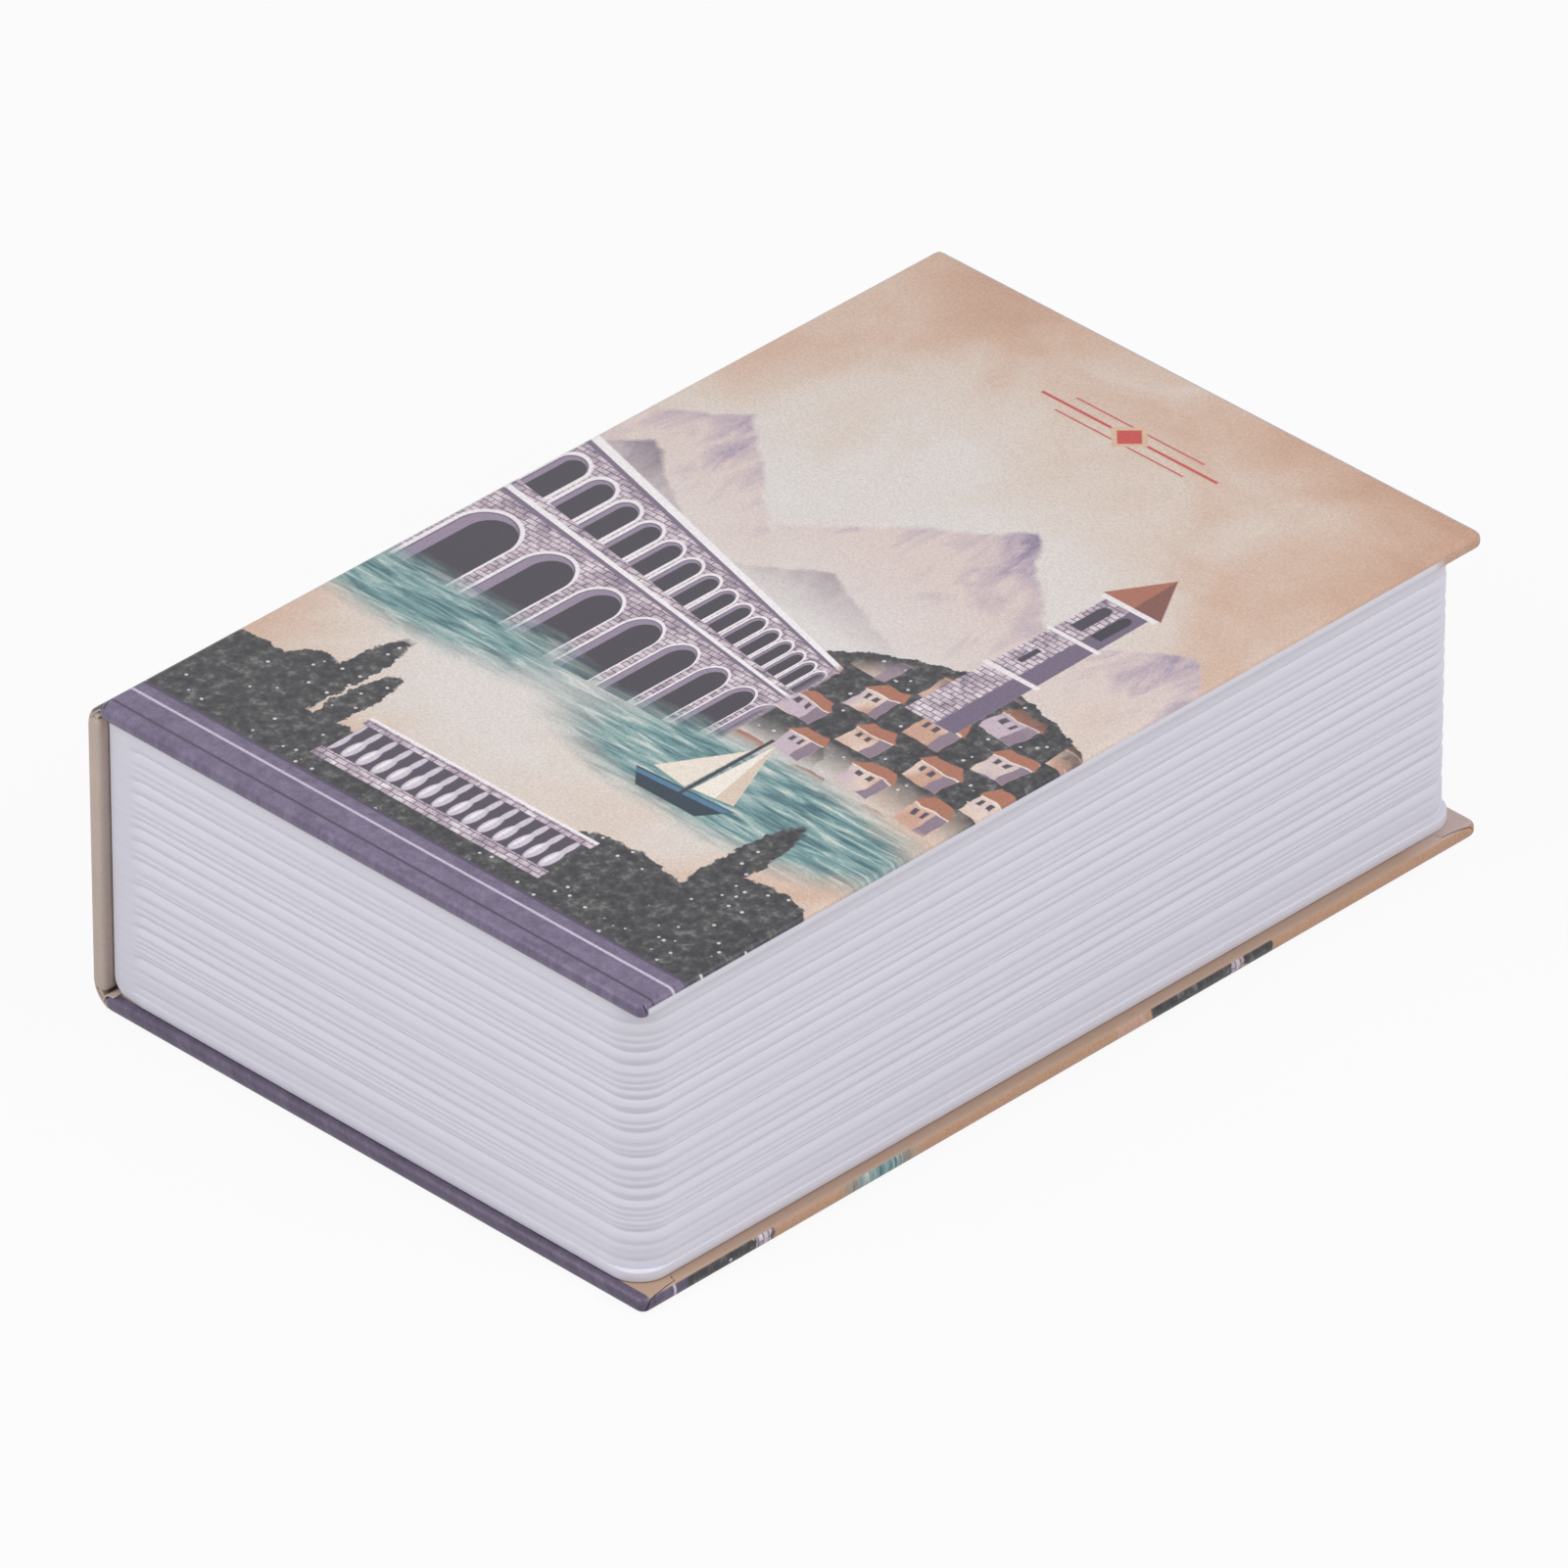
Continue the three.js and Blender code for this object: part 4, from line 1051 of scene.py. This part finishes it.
def page_plastic():
    # White ABS with a fine satin texture from its mould, and faint lines like single pages along its walls,
    # painted a little darker where they sink as painted shade
    material, tree, place = start_material("moulded_white_abs")
    lines = drawn_noise(tree, place, (400, 400, 0.45), 2.0, 0.6)
    satin = add_node(tree, "TexNoise", place, 1 / (0.6 * MM), 2.0, 0.6)
    pages = add_node(tree, "Bump", 0.5, 0.05 * MM, None, lines)
    fine = add_node(tree, "Bump", 0.1, 0.02 * MM, None, satin, pages)
    # Painted shade: the colour is 5% darker where the page lines' bump is low
    tone = add_node(tree, "MapRange", lines, 0.3, 0.7)
    shaded_between_pages = [c * 0.95 for c in tint("pages")[:3]] + [1]
    colour_value = add_node(tree, "Mix", tone, shaded_between_pages, tint("pages"), data_type="RGBA")
    end_material(tree, colour_value, fine, Roughness=0.45)
    return material


def straight_form(tree, sheet, corners, blur):
    """How far a point is inside a straight-sided form without hollows: 1 inside, 0 outside."""
    area = sum(a[0] * b[1] - b[0] * a[1] for a, b in zip(corners, corners[1:] + corners[:1]))
    corners = corners if area > 0 else corners[::-1]
    inside = None
    for a, b in zip(corners, corners[1:] + corners[:1]):
        inward = Vector((a[1] - b[1], b[0] - a[0])).normalized()
        plane = (*inward, -inward.dot(a))
        side = add_node(tree, "VectorMath", sheet, plane, operation="DOT_PRODUCT")
        if inside is not None:
            side = add_node(tree, "Math", inside, side, operation="MINIMUM")
        inside = side
    return add_node(tree, "MapRange", inside, -blur, blur)


def round_form(tree, sheet, centre, radii, blur):
    """The same for an oval."""
    scale = (1 / radii[0], 1 / radii[1], 0)
    shift = (-centre[0] / radii[0], -centre[1] / radii[1], 0)
    scaled = add_node(tree, "VectorMath", sheet, scale, shift, operation="MULTIPLY_ADD")
    away = add_node(tree, "VectorMath", scaled, operation="LENGTH")
    return add_node(tree, "MapRange", away, 1 + blur / min(radii), 1 - blur / min(radii))


def print_forms(tree, ground, sheet, forms, inks, within=None, blur=PRINT_BLUR):
    """Prints forms over the ground, one after another."""
    for ink, *outline in forms:
        if len(outline) == 1:
            left, foot, right, top = outline[0]
            outline = [(left, foot), (right, foot), (right, top), (left, top)]
        if len(outline) == 2:
            mask = round_form(tree, sheet, *outline, blur)
        else:
            mask = straight_form(tree, sheet, outline, blur)
        if within is not None:
            mask = add_node(tree, "Math", mask, within, operation="MULTIPLY")
        ink = inks[ink] if ink in inks else linear(ink)
        ground = add_node(tree, "Mix", mask, ground, ink, data_type="RGBA")
    return ground


def ragged(tree, sheet, reach, grain):
    """The sheet pushed about by noise, so that outlines on it look torn, leafy or rocky."""
    noise = add_node(tree, "TexNoise", sheet, 1 / grain, 4.0, 0.6).node.outputs["Color"]
    pushed = add_node(tree, "VectorMath", noise, (2 * reach, 2 * reach, 0), sheet, operation="MULTIPLY_ADD")
    return add_node(tree, "VectorMath", pushed, (reach, reach, 0), operation="SUBTRACT")


def repeated(tree, sheet, pitch, shift):
    """The sheet folded into cells of a pitch, with each cell's own middle at nought."""
    moved = add_node(tree, "VectorMath", sheet, (*shift, 0), operation="SUBTRACT")
    half = (pitch[0] / 2, pitch[1] / 2)
    return add_node(tree, "VectorMath", moved, (*half, 2), (-half[0], -half[1], 0), operation="WRAP")


def mix_inks(tree, sheet):
    """Inks with their own texture: foliage, stone, stucco, water, mist, ridges and the tail band."""
    inks = {}
    for ink, grain, detail, roughness, stops in NOISE_INKS:
        noise = add_node(tree, "TexNoise", sheet, 1 / grain, detail, roughness)
        inks[ink] = add_node(tree, "ValToRGB", noise, stops=stops)
    specks = add_node(tree, "TexVoronoi", sheet, 1 / 2.6)
    blossom = add_node(tree, "MapRange", specks, 0.14, 0.1)
    inks["leaf"] = add_node(tree, "Mix", blossom, inks["leaf"], linear("#CFC8CF"), data_type="RGBA")
    courses = add_node(tree, "TexBrick", sheet, linear("#FFFFFF"), linear("#EFEAF0"),
                       linear("#9A8DA0"), 1.0, 0.12, 0.1, 0.0, 2.4, 1.1)
    inks["stone"] = add_node(tree, "Mix", 1.0, inks["stone"], courses, data_type="RGBA",
                             blend_type="MULTIPLY")
    stretched = add_node(tree, "VectorMath", sheet, (0.09, 0.75, 1), operation="MULTIPLY")
    ripples = add_node(tree, "TexNoise", stretched, 1.0, 4.0, 0.6, 2.0, 0.8)
    inks["water"] = add_node(tree, "ValToRGB", ripples, stops=(
        (0.34, "#41636C"), (0.46, "#6B8F92"), (0.56, "#93AEAD"), (0.68, "#CDD2CD")))
    height = add_node(tree, "SeparateXYZ", sheet).node.outputs["Y"]
    slant = add_node(tree, "VectorMath", sheet, (0.12, 0.05, 1), operation="MULTIPLY")
    crags = add_node(tree, "TexNoise", slant, 1.0, 5.0, 0.62, 2.0, 1.2)
    rise = add_node(tree, "MapRange", height, 92, 150, -0.35, 0.25)
    crag = add_node(tree, "Math", crags, rise, operation="ADD")
    inks["mist"] = add_node(tree, "ValToRGB", crag, stops=(
        (0.3, "#DCCBC6"), (0.48, "#C0AEB8"), (0.58, "#A093A6"), (0.7, "#847790")))
    inks["ridge"] = add_node(tree, "ValToRGB", crags, stops=(
        (0.36, "#665A70"), (0.5, "#8B7E90"), (0.62, "#B5A6AE")))
    inks["dark_band"] = add_node(tree, "Mix", 1.0, inks["band"], linear("#D7D3D5"), data_type="RGBA",
                                 blend_type="MULTIPLY")
    return inks


def sky(tree, sheet):
    """Warm sky: pale in the middle and deeper to the edges, with torn cloud."""
    from_middle = add_node(tree, "VectorMath", sheet, (1 / 84, 1 / 96, 0), (-55 / 84, -88 / 96, 0),
                           operation="MULTIPLY_ADD")
    away = add_node(tree, "VectorMath", from_middle, operation="LENGTH")
    cloud = add_node(tree, "TexNoise", sheet, 1 / 30, 4.0, 0.55, 2.0, 0.6)
    tone = add_node(tree, "Math", cloud, away, operation="ADD")
    tone = add_node(tree, "Math", tone, 0.5, operation="MULTIPLY")
    return add_node(tree, "ValToRGB", tone, stops=(
        (0.34, "#DFD9D8"), (0.48, "#DED6D2"), (0.6, "#DACABF"), (0.72, "#D1B19E"), (0.85, "#C39B85")))


def viaduct(tree, ground, sheet, inks):
    """A two-storey arched bridge that runs away to the right: drawn straight on, then put in perspective."""
    depth = add_node(tree, "VectorMath", sheet, (-1 / VANISHING_LENGTH, 0, 1), operation="DOT_PRODUCT")
    divisor = add_node(tree, "CombineXYZ", depth, depth, 1.0)
    moved = add_node(tree, "VectorMath", sheet, (0, BRIDGE_FOOT, 0), operation="SUBTRACT")
    wall = add_node(tree, "VectorMath", moved, divisor, operation="DIVIDE")
    end = add_node(tree, "MapRange", add_node(tree, "SeparateXYZ", sheet), *BRIDGE_END)
    ground = print_forms(tree, ground, wall, BRIDGE, inks, end)
    for pitch, half, low, spring in ARCHES:
        bay = repeated(tree, wall, (pitch, NO_REPEAT), (pitch / 2, 0))
        height = add_node(tree, "SeparateXYZ", bay).node.outputs["Y"]
        base = add_node(tree, "MapRange", height, low - 0.1, low + 0.1)
        base = add_node(tree, "Math", base, end, operation="MULTIPLY")
        # From the outside in: the arch's stones, its joint, its depth in shade and the dark behind it
        for shift, reach, ink in (
            (0, half + 1.2, "#F1EAEE"), (0, half + 0.35, "#6A5D74"), (0, half, "#93859A"),
            (0.24 * half, half * 0.86, "#3A3440"),
        ):
            moved = add_node(tree, "VectorMath", bay, (1, 1, 0), (-shift, -spring, 0),
                             operation="MULTIPLY_ADD")
            above = add_node(tree, "VectorMath", moved, (-99, 0, 0), operation="MAXIMUM")
            away = add_node(tree, "VectorMath", above, operation="LENGTH")
            mask = add_node(tree, "MapRange", away, reach + PRINT_BLUR, reach - PRINT_BLUR)
            mask = add_node(tree, "Math", mask, base, operation="MULTIPLY")
            ground = add_node(tree, "Mix", mask, ground, linear(ink), data_type="RGBA")
    return ground


def village(tree, ground, sheet, inks, middle_point, radii):
    """Houses in staggered rows over a hill, down to the shore at its middle."""
    hill = round_form(tree, sheet, middle_point, radii, 3)
    height = add_node(tree, "SeparateXYZ", sheet).node.outputs["Y"]
    shore = add_node(tree, "MapRange", height, middle_point[1] - 2, middle_point[1])
    hill = add_node(tree, "Math", hill, shore, operation="MULTIPLY")
    uneven = ragged(tree, sheet, 4, 26)
    for pitch, shift in (((13, 17), (4, 66)), ((13, 17), (10.5, 74.5))):
        plot = repeated(tree, uneven, pitch, shift)
        ground = print_forms(tree, ground, plot, HOUSE, inks, hill)
    return ground


def far_shore(tree, sheet, inks, ground, mountains, hill, mist_top, hill_top, houses):
    """Mountains that fade into mist at their foot, and a wooded hill with houses.

    Gives the picture, and the two torn sheets for the forms that come after.
    """
    rough = ragged(tree, sheet, 2.2, 7)
    leafy = ragged(tree, sheet, 1.6, 2.4)
    height = add_node(tree, "SeparateXYZ", rough).node.outputs["Y"]
    haze = add_node(tree, "MapRange", height, mist_top - 22, mist_top)
    ground = print_forms(tree, ground, rough, mountains, inks, haze, 0.5)
    slope = add_node(tree, "MapRange", height, hill_top - 8, hill_top)
    ground = print_forms(tree, ground, leafy, hill, inks, slope)
    return village(tree, ground, sheet, inks, *houses), rough, leafy


def front_picture(tree, sheet):
    inks = mix_inks(tree, sheet)
    picture, rough, leafy = far_shore(
        tree, sheet, inks, sky(tree, sheet), MOUNTAINS, HILL,
        mist_top=112, hill_top=70, houses=((97, 62), (34, 33)))
    picture = print_forms(tree, picture, sheet, TOWER, inks)
    picture = viaduct(tree, picture, sheet, inks)
    picture = print_forms(tree, picture, rough, LAKE, inks, blur=2.5)
    picture = print_forms(tree, picture, sheet, BOAT, inks)
    picture = print_forms(tree, picture, leafy, SHRUBS, inks)
    picture = print_forms(tree, picture, sheet, TERRACE, inks)
    along = straight_form(tree, sheet, RAILED, PRINT_BLUR)
    balusters = repeated(tree, sheet, (3.2, NO_REPEAT), (33, 0))
    picture = print_forms(tree, picture, balusters, BALUSTER, inks, along)
    picture = print_forms(tree, picture, sheet, TAIL_BAND + ORNAMENT, inks)
    return print_forms(tree, picture, sheet, FRONT_EDGES, inks, blur=0.06)


def back_picture(tree, sheet):
    inks = mix_inks(tree, sheet)
    picture = print_forms(tree, sky(tree, sheet), sheet, BACK_EDGE, inks, blur=1.2)
    picture, rough, leafy = far_shore(
        tree, sheet, inks, picture, BACK_MOUNTAINS, BACK_HILL,
        mist_top=88, hill_top=62, houses=((26, 56), (32, 22)))
    picture = print_forms(tree, picture, rough, BACK_LAKE, inks, blur=2.5)
    picture = print_forms(tree, picture, leafy, BACK_PLANTS, inks)
    return print_forms(tree, picture, sheet, TAIL_BAND, {**inks, "band": inks["dark_band"]})


def printed_cover(side, stored=None):
    # Offset print on wrap paper under a satin film: a soft sheen, the picture's fine grain, and plain tan
    # where the paper is turned in and where it runs on to the spine
    material, tree, place = start_material("filmed_print_" + side + ("_joint" if stored else ""), stored)
    low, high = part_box(side + "_wrap")
    x, y, z = add_node(tree, "SeparateXYZ", place).node.outputs
    sheet = add_node(tree, "VectorMath", place, (1 / MM, 1 / MM, 0), (-low.x / MM, -low.y / MM, 1),
                     operation="MULTIPLY_ADD")
    if side == "back":
        # The back's picture runs over its fore-edge
        rise = add_node(tree, "MapRange", z, low.z, high.z, 0, (high.z - low.z) / MM)
        over_edge = add_node(tree, "CombineXYZ", rise)
        sheet = add_node(tree, "VectorMath", sheet, over_edge, operation="ADD")
    picture = front_picture(tree, sheet) if side == "front" else back_picture(tree, sheet)
    grain = add_node(tree, "TexNoise", place, 1 / (0.45 * MM), 2.0, 0.7)
    shade = add_node(tree, "MapRange", grain, 0.3, 0.7, 0.86, 1.1)
    picture = add_node(tree, "VectorMath", picture, operation="SCALE")
    tree.links.new(shade, picture.node.inputs["Scale"])
    if side == "front":
        # Its fore-edge is bare paper from the tail corner almost to the head
        bare = past_steps(tree, (z, high.z, BARE_BELOW_FACE), (x, high.x, BARE_FROM_EDGE),
                          (y, low.y, BARE_FROM_TAIL), (y, high.y, BARE_TO_HEAD))
        picture = add_node(tree, "Mix", bare, picture, tint("pages"), data_type="RGBA")
    if stored:
        turned = past_steps(tree, (z, low.z, TURNED_AT_JOINT))
        plain = tint("paper")
    elif side == "front":
        turned = past_steps(tree, (z, low.z, TURNED_AT_FRONT))
        plain = tint("endpaper")
    else:
        turned = past_steps(tree, (z, high.z, TURNED_AT_BACK), (y, low.y, LEDGE_FROM_TAIL))
        # The back's ledge takes the darker turned-in colour as painted shade from the page block, turning
        # paler towards the head
        at_head = past_steps(tree, (y, high.y, PALE_TO_HEAD))
        plain = add_node(tree, "Mix", at_head, tint("shaded_turn_in"), linear("#C4AEA8"), data_type="RGBA")
    colour_value = add_node(tree, "Mix", turned, picture, plain, data_type="RGBA")
    film = add_node(tree, "TexNoise", place, 1 / (1.2 * MM), 3.0, 0.5)
    bump = add_node(tree, "Bump", 0.12, 0.02 * MM, None, film)
    end_material(tree, colour_value, bump, Roughness=0.42)
    return material


def tan_paper(stored=None):
    # The wrap where it is plain tan: satin from its film, with long fibres, a cloudy tone and soft wrinkles
    # that run along the spine
    material, tree, place = start_material("tan_wrap_paper" + ("_joint" if stored else ""), stored)
    fibres = drawn_noise(tree, place, (0.5, 3, 0.5), 3.0, 0.6)
    wrinkles = drawn_noise(tree, place, (4, 60, 5), 1.0, 0.4)
    clouds = add_node(tree, "TexNoise", place, 1 / (9 * MM), 3.0, 0.5)
    tone = add_node(tree, "Math", fibres, clouds, operation="ADD")
    colour_value = toned(tree, "paper", tone, 0.7, 1.3, 0.92, 1.06)
    folded = add_node(tree, "Bump", 0.3, 0.2 * MM, None, wrinkles)
    bump = add_node(tree, "Bump", 0.2, 0.02 * MM, None, fibres, folded)
    end_material(tree, colour_value, bump, Roughness=0.55)
    return material


class BOOKSAFE_OT_set_stage(bpy.types.Operator):
    """Sets the pale floor, the soft studio light and the photograph's camera"""
    bl_idname = "booksafe.set_stage"
    bl_label = "Set stage"

    def execute(self, context):
        self.lay_floor()
        self.hang_lights()
        self.place_camera(context)
        context.scene.view_settings.view_transform = "Standard"
        return {"FINISHED"}

    def lay_floor(self):
        clear_selection()
        bpy.ops.mesh.primitive_plane_add(size=FLOOR_WIDTH, location=(0, 0, -FLOOR_DROP))
        floor = bpy.context.object
        floor.name = "studio_floor"
        # A matt white sweep, which the camera sees almost as white as the world behind it
        material, tree, _ = start_material("white_floor")
        diffuse = add_node(tree, "BsdfDiffuse", linear("#D4D4D4"))
        glow = add_node(tree, "Emission", (1, 1, 1, 1), 1.0)
        share = add_node(tree, "Math", seen_directly(tree), FLOOR_WHITE_SHARE, operation="MULTIPLY")
        mixed = add_node(tree, "MixShader", share, diffuse, glow)
        add_node(tree, "OutputMaterial", mixed)
        floor.data.materials.append(material)

    def hang_lights(self):
        world = bpy.data.worlds.new("studio")
        bpy.context.scene.world = world
        world.use_nodes = True
        tree = world.node_tree
        tree.nodes.clear()
        dim = add_node(tree, "Background", (1, 1, 1, 1), WORLD_STRENGTH)
        white = add_node(tree, "Background", (1, 1, 1, 1), 1.0)
        add_node(tree, "OutputWorld", add_node(tree, "MixShader", seen_directly(tree), dim, white))
        for name, place, extent, watts in SOFTBOXES:
            clear_selection()
            bpy.ops.object.light_add(type="AREA", location=place)
            light = bpy.context.object
            light.name = name
            light.data.size = extent
            light.data.energy = watts
            light.rotation_euler = (-Vector(place)).to_track_quat("-Z", "Y").to_euler()

    def place_camera(self, context):
        east = Vector((math.cos(VIEW_AZIMUTH), math.sin(VIEW_AZIMUTH), 0))
        back = Vector((math.sin(VIEW_AZIMUTH) * math.cos(VIEW_ELEVATION),
                       -math.cos(VIEW_AZIMUTH) * math.cos(VIEW_ELEVATION), math.sin(VIEW_ELEVATION)))
        up = back.cross(east)
        turn = Matrix((east, up, back)).transposed()
        clear_selection()
        bpy.ops.object.camera_add()
        camera = context.object
        camera.name = "photo_camera"
        camera.data.lens = VIEW_LENS
        camera.data.sensor_width = VIEW_SENSOR
        place = VIEW_CENTRE + turn @ (Vector((0, 0, VIEW_DISTANCE)) - VIEW_OFFSET)
        camera.matrix_world = Matrix.Translation(place) @ turn.to_4x4()
        context.scene.camera = camera


class BOOKSAFE_PT_build(bpy.types.Panel):
    """Lists the steps that dress the book safe"""
    bl_idname = "BOOKSAFE_PT_build"
    bl_label = "Book Safe"
    bl_space_type = "VIEW_3D"
    bl_region_type = "UI"
    bl_category = "Book Safe"

    def draw(self, context):
        for operator in OPERATORS:
            self.layout.operator(operator.bl_idname)
        for group in (context.scene.book_safe_sizes, context.scene.book_safe_colours):
            column = self.layout.column()
            for name in group.__annotations__:
                column.prop(group, name)


OPERATORS = (
    BOOKSAFE_OT_mould_page_block,
    BOOKSAFE_OT_wrap_covers,
    BOOKSAFE_OT_wrap_spine,
    BOOKSAFE_OT_bridge_joints,
    BOOKSAFE_OT_paste_papers,
    BOOKSAFE_OT_break_metal_edges,
    BOOKSAFE_OT_turn_lock,
    BOOKSAFE_OT_set_stage,
)
CLASSES = (BookSafeSizes, BookSafeColours, *OPERATORS, BOOKSAFE_PT_build)


def register():
    for cls in CLASSES:
        bpy.utils.register_class(cls)
    bpy.types.Scene.book_safe_sizes = PointerProperty(type=BookSafeSizes)
    bpy.types.Scene.book_safe_colours = PointerProperty(type=BookSafeColours)


def unregister():
    del bpy.types.Scene.book_safe_colours
    del bpy.types.Scene.book_safe_sizes
    for cls in reversed(CLASSES):
        bpy.utils.unregister_class(cls)


def main():
    register()
    for operator in OPERATORS:
        group, name = operator.bl_idname.split(".")
        getattr(getattr(bpy.ops, group), name)()


if __name__ == "__main__":
    main()
